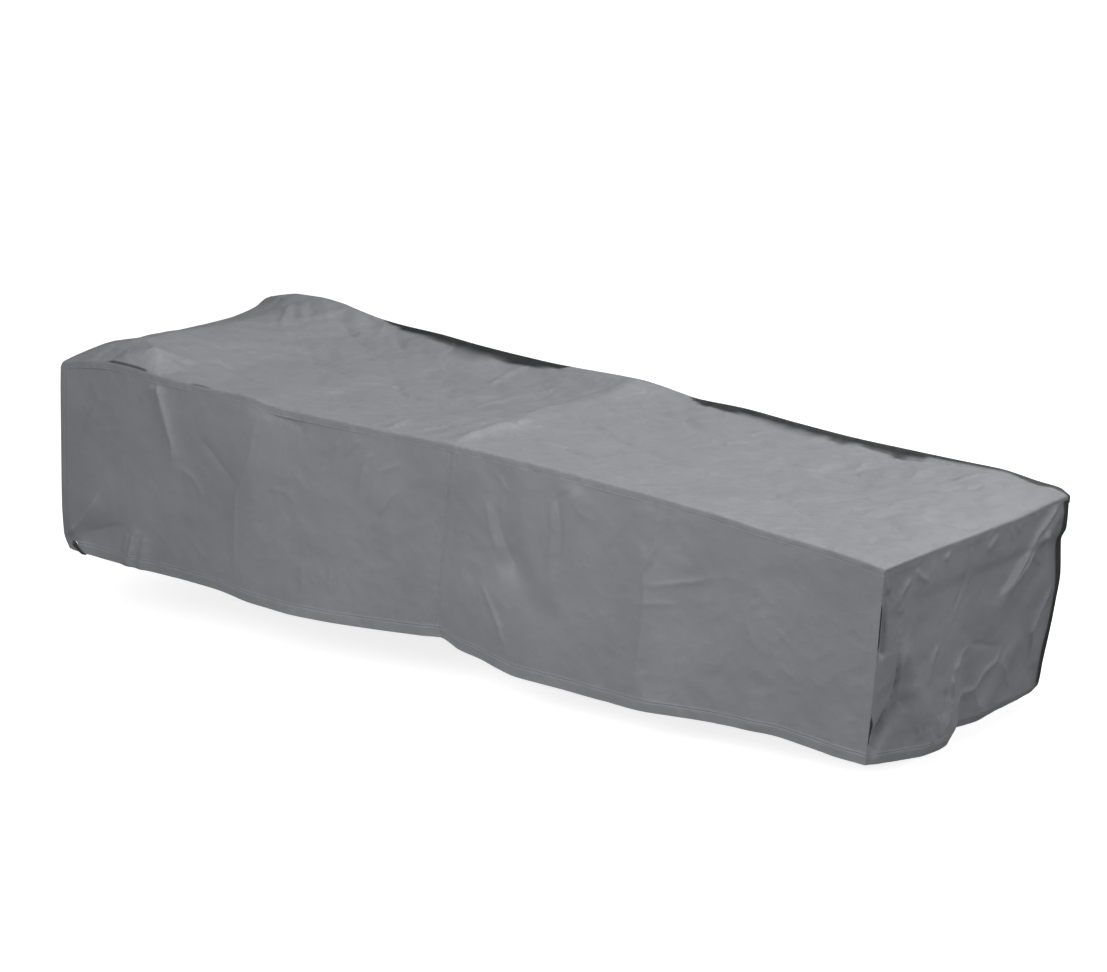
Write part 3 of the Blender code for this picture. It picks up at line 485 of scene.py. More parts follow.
def crumple(p, q, seed):
    """The restless surface between the creases: wide swells, and small sharp-backed wrinkles."""
    bend = 0.012 * noise(p, q, 0.060, seed + 6)
    p, q = p + bend, q - bend
    swell = 0.0044 * noise(p, q, 0.170, seed) + 0.0020 * noise(p, q, 0.070, seed + 1)
    busy = 0.35 + 0.65 * smooth(0.5 + 0.9 * noise(p, q, 0.240, seed + 4))
    backs = 0.0034 * np.sqrt(noise(p, q, 0.060, seed + 2) ** 2 + 0.002)
    backs += 0.0015 * np.sqrt(noise(p, q, 0.030, seed + 3) ** 2 + 0.004)
    return swell - busy * backs


sample = crumple(np.linspace(-1, 1, 400), np.zeros(400), 3)
print("restless surface: %.1f to %.1f mm" % (1000 * sample.min(), 1000 * sample.max()))

# %% [markdown]
# Each panel's surface is one of those blends with everything added: folds, creases, wrinkles, the
# hem's doubled band, and the gathers that a sewing machine pulls up along each line. The panels
# lap in the order in which they are sewn: side walls inside, end walls over them, and the top's
# turned edge outside. So each has its own level, a fraction of a millimetre off the measured face.

# %% Levels, hems and walls
CLOTH_SHOWN = 0.0007     # thickness of one layer of the real cloth
LEVELS = {"top": 0.0006, "end": -0.0002, "side": -0.0010}
HEM = 0.023              # depth of the turned hem
HEM_STITCH = 0.0195      # above the hem's edge
STRIP_STITCH = 0.0125    # below the top's edge
SEEDS = {"top": 3, "front": 11, "back": 23, "head": 37, "foot": 53}


def pucker(along, seed):
    """Small gathers along a sewn line."""
    short = noise(along, along * 0 + 0.01 * seed, 0.011, seed)
    return short + noise(along, along * 0, 0.027, seed + 5)


def sewn_relief(face, along, s, down, seam_at=None):
    """What sewing does to a wall: the hem's doubled band, and gathers at each sewn line."""
    above = (1.0 - down) * SKIRT
    below = down * SKIRT
    out = 0.0007 * (1.0 - smooth((above - HEM + 0.001) / 0.002))
    out -= 0.0007 * np.exp(-((above - HEM_STITCH) / 0.0014) ** 2)
    gathers = pucker(along, SEEDS[face])
    out += 0.0006 * gathers * np.exp(-np.abs(above - HEM_STITCH) / 0.012)
    out += 0.0005 * pucker(along, SEEDS[face] + 2) * np.exp(-np.abs(below - TOP_LAP) / 0.018)
    if seam_at is not None:
        apart = np.abs(s - seam_at) * 2 * HALF_LENGTH
        out -= 0.0016 * np.exp(-(apart / 0.0035) ** 2)
        out += 0.0006 * pucker(above, SEEDS[face] + 4) * np.exp(-apart / 0.014)
    return out


def cloth_wall(face, s, down, level, seam_at=None):
    """Points of a wall's cloth with its folds, creases, crumples and sewing."""
    points = wall_points(face, s, down)
    axis, sign = PLANES[face]
    p, q = points[..., 1 - axis], points[..., 2]
    run = 2 * (HALF_LENGTH if axis == 1 else HALF_WIDTH)
    edge = smooth(s * run / 0.020) * smooth((1 - s) * run / 0.020) * smooth(down * SKIRT / 0.020)
    out = edge * (crease_relief(face, p, q) + LIVELY[face] * crumple(p, q, SEEDS[face]))
    out += level + sewn_relief(face, p, s, down, seam_at)
    points[..., axis] += sign * out
    return points


print("levels in mm:", {name: 1000 * level for name, level in LEVELS.items()})

# %% [markdown]
# Each panel starts as Blender's own flat grid, with its rows set closer where the cloth is sewn or
# folded. The grid's corners are then moved to their places on the hanging shape. A vertex value
# says where shade is painted into the cloth's colour, and the UV map keeps the panel's flat size in
# metres for the weave. Last, a Solidify modifier gives the cloth its thickness, inwards.

# %% Grid to cloth
def spaced(low, high, step):
    """Even places from low to high, about one step apart."""
    return np.linspace(low, high, max(2, int(round(abs(high - low) / step)) + 1))


def heights(first, step):
    """Places down a wall from a first one to the hem, closer at the hem, as shares of the skirt."""
    near_hem = SKIRT - np.array([0.030, 0.027, 0.0245, 0.0232, 0.0222, 0.0212, 0.0203, 0.0195,
                                 0.0187, 0.0178, 0.016, 0.013, 0.010, 0.007, 0.004, 0.002, 0.0008,
                                 0.0])
    return np.concatenate([spaced(first, near_hem[0], step)[:-1], near_hem]) / SKIRT


def shaped_grid(name, points, flat, shade_share):
    """A grid primitive whose corner (i, j) is moved to points[i, j], with its flat size as UVs.

    The last argument tells how much shade is painted into the colour at each corner, from 0 to 1.
    """
    columns, rows = points.shape[0] - 1, points.shape[1] - 1
    bpy.ops.object.select_all(action="DESELECT")
    bpy.ops.mesh.primitive_grid_add(x_subdivisions=columns, y_subdivisions=rows, size=2.0)
    sheet = bpy.context.object
    sheet.name = sheet.data.name = name
    mesh = sheet.data
    places = np.empty(len(mesh.vertices) * 3)
    mesh.vertices.foreach_get("co", places)
    places = places.reshape(-1, 3)
    i = np.rint((places[:, 0] + 1) / 2 * columns).astype(int)
    j = np.rint((places[:, 1] + 1) / 2 * rows).astype(int)
    hung = points[i, j] + np.array([0.0, 0.0, GROUND])
    mesh.vertices.foreach_set("co", hung.ravel())
    corner_of = np.empty(len(mesh.loops), int)
    mesh.loops.foreach_get("vertex_index", corner_of)
    mesh.uv_layers.active.data.foreach_set("uv", flat[i, j][corner_of].ravel())
    # painted shade: this vertex value mixes a near-black into the cloth's colour where it is in
    # shade
    mesh.attributes.new("painted_shade_value", "FLOAT", "POINT").data.foreach_set("value", shade_share[i, j])
    mesh.update()
    return sheet


def finish_cloth(sheet):
    """Give the cloth its thickness, inwards from the face that shows."""
    layer = sheet.modifiers.new("thickness", "SOLIDIFY")
    layer.thickness = CLOTH_SHOWN
    layer.offset = -1.0
    layer.use_quality_normals = True
    bpy.context.view_layer.objects.active = sheet
    sheet.select_set(True)
    bpy.ops.object.modifier_apply(modifier=layer.name)
    bpy.ops.object.shade_smooth_by_angle(angle=math.radians(50))
    sheet.select_set(False)
    print(sheet.name, "faces", len(sheet.data.polygons))


print("rows down a wall:", len(heights(0.005, 0.0035)))

# %% [markdown]
# The side walls come first. Each side is two panels joined at the middle, where the seam draws the
# cloth in. A wall's panel runs a little way under the top's turned edge and under the end wall's
# turned edge, as a sewn lap does.

# %% Side walls
UNDER = 0.005            # how near to the fold a lapped edge is hidden
FINE, COARSE = 0.0035, 0.0065    # size of the grid's squares on a side that shows, and that doesn't


def side_wall(name, face, first, last, step):
    """One half of a side wall, between two places along it given as shares of its length."""
    s = spaced(first, last, step / (2 * HALF_LENGTH))
    seam = 0.5
    extra = np.array([0.002, 0.004, 0.007]) / (2 * HALF_LENGTH)
    s = np.union1d(s, seam + (extra if last > seam else -extra))
    down = heights(UNDER, step)[::-1]
    if face == "back":
        s = s[::-1]
    grid_s, grid_down = np.meshgrid(s, down, indexing="ij")
    points = cloth_wall(face, grid_s, grid_down, LEVELS["side"], seam_at=seam)
    flat = np.stack([grid_s * 2 * HALF_LENGTH, (1 - grid_down) * SKIRT], axis=-1)
    sheet = shaped_grid(name, points, flat, grid_s * 0)
    finish_cloth(sheet)
    return sheet


inset = UNDER / (2 * HALF_LENGTH)
walls = {}
for side, step in (("front", FINE), ("back", COARSE)):
    for half, first, last in (("head", inset, 0.5), ("foot", 0.5, 1 - inset)):
        walls[side + "_panel_" + half] = side_wall(side + "_wall_" + half, side, first, last, step)

# %% [markdown]
# An end wall turns both vertical corners and laps over the side walls, so its grid runs along one
# side wall, round the corner, across the end, and back along the other side. The fold itself is
# then rounded by averaging the few rows nearest to it, because coated cloth bends over about
# three millimetres and a knife-sharp edge would catch the light wrongly.

# %% Folds between panels
NEAR_FOLD = np.array([0.0012, 0.0025, 0.0040, 0.0060])
ROUNDING = (3, 4)        # rows to each side of a fold, and how often they are averaged


def rounded(points, folds, reach, times):
    """Average the rows of a grid across its folds, given as rows, within this many rows."""
    for fold in folds:
        low, high = max(fold - reach, 1), min(fold + reach, len(points) - 2)
        for _ in range(times):
            middle = points[low:high + 1]
            beside = points[low - 1:high] + points[low + 1:high + 2]
            points[low:high + 1] = (beside + 2 * middle) / 4
    return points


print("rows beside a fold, in mm:", 1000 * NEAR_FOLD)

# %% [markdown]
# Where an edge rolls away from the light or a lap gapes, shade is painted into the cloth's colour:
# at the rear of the foot wall, at the head's front corner, and as painted shadow in two gaps at the
# foot's front corner. These gaps are finer than two cloths could be parted in the mesh, so they are
# given as shares of painted shade, which the cloth's finish mixes in later.

# %% Painted shade on the end walls
SLIT = 0.012             # width of the painted shadow slit at the foot's front corner


def painted_shade_at(face, measured, run):
    """How much painted shade darkens places across an end wall, measured from its left."""
    if face == "head":
        return 0.45 * smooth(measured / 0.002) * (1 - smooth((measured - 0.006) / 0.004))
    from_back = run - measured
    dark = 1 - smooth((from_back - 0.022) / 0.008)
    return 0.75 * dark + 0.25 * (1 - smooth((from_back - 0.026) / 0.040))


def corner_gap_shadow(across, height):
    """Painted shadow in two gaps at the foot's front corner: a slit half way up, and a wedge above
    the hem.
    """
    slit = SLIT * smooth((height - 0.272) / 0.035) * smooth((0.380 - height) / 0.040)
    wedge = np.clip((height - 0.080) * 0.30, 0, 0.013) * smooth((0.150 - height) / 0.030)
    widest = np.maximum(slit, wedge)
    return (across > 0.0008) * (1 - smooth((across - widest) / 0.003)) * smooth(widest / 0.003)


print("widest slit: %.1f mm" % (1000 * SLIT))

# %% [markdown]
# Each end wall is put together from three strips: its turned edge on one side wall, its face, and
# the turned edge on the other. The foot's wall is in plain view and has finer squares.

# %% End walls
def end_wall(name, face, step):
    """An end wall with its two turned edges."""
    down = heights(UNDER, step)[::-1]
    run = 2 * HALF_WIDTH
    lap = np.concatenate([[0.0], NEAR_FOLD, spaced(0.009, CORNER_LAP, 0.004)])
    across = np.union1d(spaced(0.012, run - 0.012, step),
                        np.concatenate([[0.0], NEAR_FOLD, [0.009], [run - 0.009],
                                        run - NEAR_FOLD[::-1], [run]]))
    order = ("front", "back") if face == "foot" else ("back", "front")
    if face == "head":
        across = across[::-1]
    sides = []
    for side in order:
        s = lap[1:] / (2 * HALF_LENGTH)
        s = s if face == "head" else 1 - s
        grid_s, grid_down = np.meshgrid(s, down, indexing="ij")
        sides.append(cloth_wall(side, grid_s, grid_down, LEVELS["end"]))
    grid_s, grid_down = np.meshgrid(across / run, down, indexing="ij")
    face_points = cloth_wall(face, grid_s, grid_down, LEVELS["end"])
    for row, side in ((0, order[0]), (-1, order[1])):
        axis, sign = PLANES[side]
        face_points[row, :, axis] += sign * LEVELS["end"]
    points = np.concatenate([sides[0][::-1], face_points, sides[1]])
    fold = len(lap) - 1
    points = rounded(points, (fold, fold + len(across) - 1), *ROUNDING)
    measured = np.concatenate([-lap[:0:-1], np.sort(across), run + lap[1:]])
    flat = np.stack(np.meshgrid(measured, (1 - down) * SKIRT, indexing="ij"), axis=-1)
    # painted shade along the end wall's rolled edges
    shade_share = painted_shade_at(face, measured, run)[:, None] * smooth(flat[..., 1] / 0.03)
    if face == "foot":
        # painted shadow in the gaps of the foot's front corner
        shade_share = np.maximum(shade_share, corner_gap_shadow(flat[..., 0], points[..., 2]))
    sheet = shaped_grid(name, points, flat, shade_share)
    finish_cloth(sheet)
    return sheet


walls["head_end_panel"] = end_wall("head_wall", "head", 0.0060)
walls["foot_end_panel"] = end_wall("foot_wall", "foot", 0.0036)

# %% [markdown]
# Painted shade also darkens a band along the back edge of the top, where the edge rolls over out of
# the light, with a faded part beside it. It is a table of widths, read off the picture.

# %% Painted shade band at the back edge
# widths of the painted shade band along the top's back edge
# along, width of the full band, width of the faded band
BACK_SHADE_BAND = mm("""
    -1050 0 0, -730 0 0, -705 4 4, -675 6 7, -652 8 9, -607 9 12, -560 10 16, -530 10 20,
    -510 10 32, -490 10 46, -450 10 46, -410 10 34, -385 10 22, -320 11 17, -276 10 12, -232 8 9,
    -205 3 3, -190 0 0, 107 0 0, 123 5 6, 138 9 10, 180 13 14, 220 15 22, 242 10 19, 282 9 17,
    344 9 26, 384 10 36, 424 9 33, 464 9 22, 484 10 16, 510 10 28, 544 9 26, 564 10 16, 643 10 12,
    682 9 10, 740 5 7, 800 6 8, 860 6 7, 912 6 7, 932 9 12, 950 13 18, 988 20 28, 1026 12 18,
    1050 6 8
""")
BAND_GAIN, FADED_GAIN = 1.5, 1.4    # the bands are seen at a low angle, so they are wider in truth
print("widest band: %.0f mm" % (1000 * BAND_GAIN * max(full for _, full, _ in BACK_SHADE_BAND)))


def painted_shade_on_top(x, from_front, from_back):
    """How much painted shade darkens the top: a band at the back edge, and thin painted shadows
    near the head's front edge.
    """
    band, faded = BAND_GAIN * read(BACK_SHADE_BAND, 1, x), FADED_GAIN * read(BACK_SHADE_BAND, 2, x)
    shade_mask = 1 - smooth((from_back - band + 0.002) / 0.003)
    shade_mask = np.maximum(shade_mask, 0.6 * (1 - smooth(from_back / np.maximum(faded, 0.002))))
    shade_mask *= smooth(band / 0.004)
    # painted shadow in thin gaps where the top pinches behind its turned front edge
    pinch_shadow = smooth((x + 0.930) / 0.020) * smooth((-0.806 - x) / 0.012)
    pinch_shadow = np.maximum(pinch_shadow, 0.7 * smooth((x + 0.690) / 0.02) * smooth((-0.625 - x) / 0.02))
    return np.maximum(shade_mask, 0.8 * pinch_shadow * (1 - smooth((from_front - 0.002) / 0.003)))

# %% [markdown]
# Near the head the cloth is pulled taut in flat facets with sharp ridges between them. Facets are
# easiest to give as a few corner points and the triangles between them. Each place of the top
# finds the triangle that it lies in and takes its height from the three corners.

# %% Facets near the head
# x, y, height added
TENT = mm("""
    -1056 -356 0, -1056 -250 0, -1056 -100 0, -1056 100 0, -1056 356 0, -917 -356 0, -900 -250 22,
    -920 -100 14, -925 50 9, -930 356 0, -833 -300 33, -811 -356 0, -780 -356 0, -640 -356 0,
    -690 -240 0, -730 -100 0, -800 80 0, -820 356 0, -740 -300 7, -770 -230 11
""")
TENT_FACETS = (
    (0, 5, 6), (0, 6, 1), (1, 6, 7), (1, 7, 2), (2, 7, 8), (2, 8, 3), (3, 8, 9), (3, 9, 4),
    (5, 10, 6), (5, 11, 10), (11, 12, 10), (12, 18, 10), (12, 13, 18), (13, 14, 18),
    (18, 14, 19), (10, 18, 19), (6, 10, 19), (6, 19, 15), (19, 14, 15), (6, 15, 7),
    (7, 15, 16), (7, 16, 8), (8, 16, 17), (8, 17, 9),
)


def tent(x, y):
    """Height that the facets add at the places (x, y)."""
    total = np.zeros_like(x)
    for facet in TENT_FACETS:
        (x0, y0, z0), (x1, y1, z1), (x2, y2, z2) = (TENT[k] for k in facet)
        twice = (y1 - y2) * (x0 - x2) + (x2 - x1) * (y0 - y2)
        first = ((y1 - y2) * (x - x2) + (x2 - x1) * (y - y2)) / twice
        second = ((y2 - y0) * (x - x2) + (x0 - x2) * (y - y2)) / twice
        third = 1 - first - second
        within = (first >= 0) & (second >= 0) & (third >= 0)
        total = np.where(within, first * z0 + second * z1 + third * z2, total)
    return total


print("facets:", len(TENT_FACETS))

# %% [markdown]
# The top is one cloth, tray-shaped: its edge is turned down all round. It rises quickly inside the
# rim at the foot and at the front, where the sewn edge holds it down.

# %% Cloth of the top
def edge_rise(x, y):
    """The cloth rises quickly inside the foot edge, and inside the front edge near the foot."""
    foot, front = np.maximum(HALF_LENGTH - x, 0), np.maximum(HALF_WIDTH + y, 0)
    rise = 0.0075 * (1 - np.exp(-foot / 0.028)) * np.exp(-(foot / 0.30) ** 2)
    towards_foot = 0.25 + 0.75 * smooth((x - 0.35) / 0.40)
    ends = smooth(foot / 0.06) * smooth((x + 0.80) / 0.10)
    return rise * smooth(front / 0.03) + 0.006 * towards_foot * ends * (
        (1 - np.exp(-front / 0.016)) * np.exp(-(front / 0.12) ** 2))


def cloth_top(a, b):
    """Points of the top's cloth inside its edges."""
    points = top_points(a, b)
    x, y = points[..., 0], points[..., 1]
    points[..., 2] += tent(x, y) + edge_rise(x, y) * smooth((HALF_WIDTH - y) / 0.03)
    edge = smooth((HALF_WIDTH - np.abs(y)) / 0.020) * smooth((HALF_LENGTH - np.abs(x)) / 0.020)
    out = edge * (crease_relief("top", x, y) + LIVELY["top"] * crumple(x, y, SEEDS["top"]))
    points[..., 2] += out + LEVELS["top"]
    return points


def strip_level(along, below, face):
    """How far the turned edge stands off the measured wall, with gathers at its stitches."""
    if face == "foot":
        return LEVELS["top"] - 0.0004 * smooth(below / 0.009)
    dip = 0.0004 * np.exp(-((below - STRIP_STITCH) / 0.0010) ** 2)
    return LEVELS["top"] + 0.0004 * pucker(along, SEEDS[face] + 2) * smooth(below / 0.012) - dip


print("rise inside the foot's rim: %.1f mm" % (1000 * edge_rise(np.array([1.0]), np.zeros(1))[0]))

# %% [markdown]
# The grid of the top has some more rows outside the edge for the turned part, which follow the
# walls. The folds are rounded as on the end walls. Of the four little squares of the grid outside
# the corners, the two cut sides are laid together here, so that they can be merged in the end.

# %% The whole top
def with_turned_edge(length, fine_until, fine, step):
    """Places along the top with its turned edges: share inside, and how far it's turned down."""
    near = np.concatenate([[0.0], NEAR_FOLD, [0.009]])
    middle = np.concatenate([spaced(0.014, fine_until, fine)[:-1],
                             spaced(fine_until, length - 0.014, step)])
    inside = np.concatenate([near, middle, (length - near)[::-1]])
    turned = np.array([0.0012, 0.0025, 0.0040, 0.0065, 0.0090, 0.0115, 0.0125, 0.0135, TOP_LAP])
    share = np.concatenate([turned * 0, inside / length, turned * 0 + 1])
    over = np.concatenate([turned[::-1], inside * 0, turned])
    measured = np.concatenate([-turned[::-1], inside, length + turned])
    return share, over, measured, len(turned)


def top_cloth():
    """The whole top with its turned edge, before its thickness."""
    a, over_a, flat_a, turned = with_turned_edge(2 * HALF_LENGTH, 0.34, 0.0040, 0.0066)
    b, over_b, flat_b, _ = with_turned_edge(2 * HALF_WIDTH, 0.10, 0.0050, 0.0082)
    grid_a, grid_b = np.meshgrid(a, b, indexing="ij")
    points = cloth_top(grid_a, grid_b)
    for face, rows in (("front", slice(0, turned)), ("back", slice(len(b) - turned, len(b)))):
        s, down = np.meshgrid(a, over_b[rows] / SKIRT, indexing="ij")
        points[:, rows] = wall_points(face, s, down)
        axis, sign = PLANES[face]
        points[:, rows, axis] += sign * strip_level(points[:, rows, 0], over_b[rows][None, :], face)
    for face, rows in (("head", slice(0, turned)), ("foot", slice(len(a) - turned, len(a)))):
        s, down = np.meshgrid(b, over_a[rows] / SKIRT, indexing="xy")
        points[rows] = wall_points(face, s, down)
        axis, sign = PLANES[face]
        points[rows, :, axis] += sign * strip_level(points[rows, :, 1], over_a[rows][:, None], face)
    inner_b, inner_a = slice(turned, len(b) - turned), slice(turned, len(a) - turned)
    points[inner_a, turned, 1] -= LEVELS["top"]
    points[inner_a, len(b) - turned - 1, 1] += LEVELS["top"]
    points[turned, inner_b, 0] -= LEVELS["top"]
    points[len(a) - turned - 1, inner_b, 0] += LEVELS["top"]
    across = rounded(points[turned:len(a) - turned].transpose(1, 0, 2).copy(),
                     (turned, len(b) - turned - 1), *ROUNDING)
    points[turned:len(a) - turned] = across.transpose(1, 0, 2)
    along = points[:, inner_b].copy()
    points[:, inner_b] = rounded(along, (turned, len(a) - turned - 1), *ROUNDING)
    for i, to_end in ((turned, -1), (len(a) - turned - 1, 1)):
        for j, to_side in ((turned, -1), (len(b) - turned - 1, 1)):
            for k in range(1, turned + 1):
                side, end = points[i, j + k * to_side], points[i + k * to_end, j]
                side[:] = end[:] = (end[0], side[1], (side[2] + end[2]) / 2)
    flat = np.stack(np.meshgrid(flat_a, flat_b, indexing="ij"), axis=-1)
    outside = (over_a[:, None] > 0) & (over_b[None, :] > 0)
    from_front = grid_b * 2 * HALF_WIDTH
    # painted shade: a dark band along the top's back edge, and thin painted shadows near the head's
    # front edge
    shade_share = (over_b == 0) * painted_shade_on_top(points[..., 0], from_front, 2 * HALF_WIDTH - from_front)
    return shaped_grid("top_cloth", points, flat, shade_share), outside


top, outside = top_cloth()

# %% [markdown]
# The squares outside the corners have no cloth. They are deleted with the mesh tools of edit mode,
# and the cut sides are merged, as a maker folds a corner.

# %% Corners of the top
def fold_corners(sheet, outside):
    """Delete the grid's squares outside the four corners and merge the sides of each cut."""
    mesh = sheet.data
    bpy.context.view_layer.objects.active = sheet
    bpy.ops.object.mode_set(mode="EDIT")
    bpy.ops.mesh.select_mode(type="VERT")
    bpy.ops.mesh.select_all(action="DESELECT")
    bpy.ops.object.mode_set(mode="OBJECT")
    mesh.vertices.foreach_set("select", outside.T.ravel())
    bpy.ops.object.mode_set(mode="EDIT")
    bpy.ops.mesh.delete(type="VERT")
    bpy.ops.mesh.select_all(action="SELECT")
    bpy.ops.mesh.region_to_loop()
    bpy.ops.mesh.remove_doubles(threshold=0.0001)
    bpy.ops.object.mode_set(mode="OBJECT")


fold_corners(top, outside)
finish_cloth(top)
print("top", [round(v, 3) for v in top.dimensions])

# %% [markdown]
# A sewn line shows as a row of short thread stitches lying in a slight furrow. One stitch is a
# small five-sided bead drawn out along the line. It is modelled once, then copied along each line
# and joined to one mesh, because three thousand separate objects would be slow to work with.

# %% Stitches
STITCH_PITCH = 0.0040
STITCH_SIZE = (0.0031, 0.00060, 0.00050)


def one_stitch():
    """Corners and faces of one stitch, lying along X."""
    bpy.ops.object.select_all(action="DESELECT")
    bpy.ops.mesh.primitive_uv_sphere_add(segments=5, ring_count=3, radius=0.5)
    bead = bpy.context.object
    places = np.array([list(v.co) for v in bead.data.vertices])[:, [2, 0, 1]]
    faces = [list(f.vertices) for f in bead.data.polygons]
    bpy.data.objects.remove(bead)
    return places * np.array(STITCH_SIZE), faces


BEAD, BEAD_FACES = one_stitch()
print("corners of one stitch:", len(BEAD))


def seam_line(face, level, s, down):
    """Close places along a line on a wall, given as shares along it and down it."""
    points = cloth_wall(face, s, down, level)
    points[..., 2] += GROUND
    return points


def stitch_line(line, out):
    """Placed copies of the stitch along a line of close places."""
    steps = np.linalg.norm(np.diff(line, axis=0), axis=1)
    reach = np.concatenate([[0.0], np.cumsum(steps)])
    at = np.arange(STITCH_PITCH, reach[-1] - STITCH_PITCH / 2, STITCH_PITCH)

    def place(d):
        return np.stack([np.interp(d, reach, line[:, k]) for k in range(3)], axis=-1)

    middle = place(at)
    along = place(at + 0.0015) - place(at - 0.0015)
    along /= np.linalg.norm(along, axis=1)[:, None]
    side = np.cross(out, along)
    side /= np.linalg.norm(side, axis=1)[:, None]
    normal = np.cross(along, side)
    frames = np.stack([along, side, normal], axis=1)
    return middle[:, None, :] + BEAD @ frames


def stitched(name, lines):
    """Join all the stitches of these lines, given as (places, outward way), to one piece."""
    copies = np.concatenate([stitch_line(line, np.array(out, float)) for line, out in lines])
    count = len(BEAD)
    faces = [[k + n * count for k in face] for n in range(len(copies)) for face in BEAD_FACES]
    mesh = bpy.data.meshes.new(name)
    mesh.from_pydata(copies.reshape(-1, 3), [], faces)
    mesh.shade_smooth()
    piece = bpy.data.objects.new(name, mesh)
    bpy.context.scene.collection.objects.link(piece)
    print(name, len(copies), "stitches")
    return piece


def outward(face):
    """The way out of a wall."""
    axis, sign = PLANES[face]
    way = [0.0, 0.0, 0.0]
    way[axis] = sign
    return way

# %% [markdown]
# The lines themselves follow the same surfaces as the cloth: round the cover at the top's turned
# edge and at the hem, and down the side walls at each corner's lap and at the middle seam.

# %% Sewn lines
def round_lines(face):
    """The stitched lines that run round the cover on one wall: the top's turned edge, the hem."""
    run = 2 * (HALF_LENGTH if PLANES[face][0] == 1 else HALF_WIDTH)
    s = spaced(0.010 / run, 1 - 0.010 / run, 0.003 / run)
    level = LEVELS["end" if face in ("head", "foot") else "side"]
    strip = wall_points(face, s, np.full_like(s, STRIP_STITCH / SKIRT))
    axis, sign = PLANES[face]
    strip[:, axis] += sign * strip_level(strip[:, 1 - axis], np.full_like(s, STRIP_STITCH), face)
    strip[:, 2] += GROUND
    down = np.full_like(s, 1 - HEM_STITCH / SKIRT)
    hem_line = seam_line(face, level, s, down)
    lines = [(hem_line, outward(face))]
    return lines if face == "foot" else [(strip, outward(face))] + lines


def upright_lines(face):
    """The stitched lines that run down a side wall: each corner's lap, and the middle seam."""
    down = spaced(0.016 / SKIRT, 0.994, 0.003 / SKIRT)
    lines = []
    for s, level in ((0.0135 / (2 * HALF_LENGTH), "end"), (1 - 0.0135 / (2 * HALF_LENGTH), "end"),
                     (0.5 - 0.0055 / (2 * HALF_LENGTH), "side")):
        lines.append((seam_line(face, LEVELS[level], np.full_like(down, s), down), outward(face)))
    return lines


stitch_pieces = [stitched("stitches_" + face, round_lines(face)
                          + (upright_lines(face) if face in ("front", "back") else []))
                 for face in ("front", "back", "head", "foot")]

# %% [markdown]
# At the head's front corner a black elastic cord runs through two eyelets and draws the hems
# together. The cord is a tube swept along the measured route. Its braid is two sets of strands
# that wind opposite ways, and here they are real ridges a tenth of a millimetre high.

# %% Corner cord
CORD_RADIUS = 0.0017
CORD_SIDES = 20
CORD_RINGS = 520
BRAID_TURN = 0.0085      # one strand goes once round in this length
# the route of its middle line: x, y, z
CORD_PLACES = mm("""
    -1024.3 -348.7 -364.3, -1023.2 -353.1 -365.3, -1025.2 -357.3 -365.1, -1023.6 -360.9 -366.8,
    -1019.6 -361.7 -369.7, -1015.6 -361.4 -372.6, -1011.7 -361.1 -375.6, -1007.9 -361 -378.9,
    -1004.8 -359 -382.1, -1002.2 -355.6 -384.5, -1003.3 -351.6 -382, -1005.8 -349.4 -378.4,
    -1008.9 -349.2 -374.5, -1012.1 -349.6 -370.8, -1015.5 -349.6 -367.1, -1019 -350.3 -363.7,
    -1021.7 -353.8 -361.7, -1023.2 -358.5 -361.3, -1020.8 -361.6 -363.5, -1016.9 -362.5 -366.5,
    -1012.9 -362 -369.4, -1009.1 -361.8 -372.5, -1005.4 -362.6 -375.7, -1001.8 -361.5 -378.9,
    -998.6 -359.3 -382, -995.9 -355.9 -384.3, -996.7 -352.4 -381.2, -999.1 -349.6 -377.9,
    -1002.9 -347.1 -375.9, -1007.1 -344.7 -374.7, -1011.1 -341.9 -373.9, -1014.8 -338.7 -373.2,
    -1018.5 -335.4 -372.5, -1022.2 -332.1 -371.9, -1025.9 -328.8 -371.3, -1029.6 -325.6 -370.7,
    -1033.5 -322.5 -370.3, -1037.9 -320.3 -370.2, -1039.9 -323.8 -372.2, -1040.1 -328.4 -374.1,
    -1042.6 -332.2 -375.9, -1046.6 -334.8 -376.5, -1050.2 -334.5 -373.2, -1053.3 -333.6 -369.3,
    -1055.8 -332.4 -365.3, -1057.2 -330.4 -361, -1055 -328.9 -357.3, -1051.5 -327.3 -354.8,
    -1048 -326 -353, -1044.2 -328.9 -354.3, -1040.7 -332 -355.9, -1037.3 -335.2 -357.5,
    -1033.9 -338.5 -359.2, -1030.6 -341.8 -361, -1027.4 -345.2 -362.7
""")


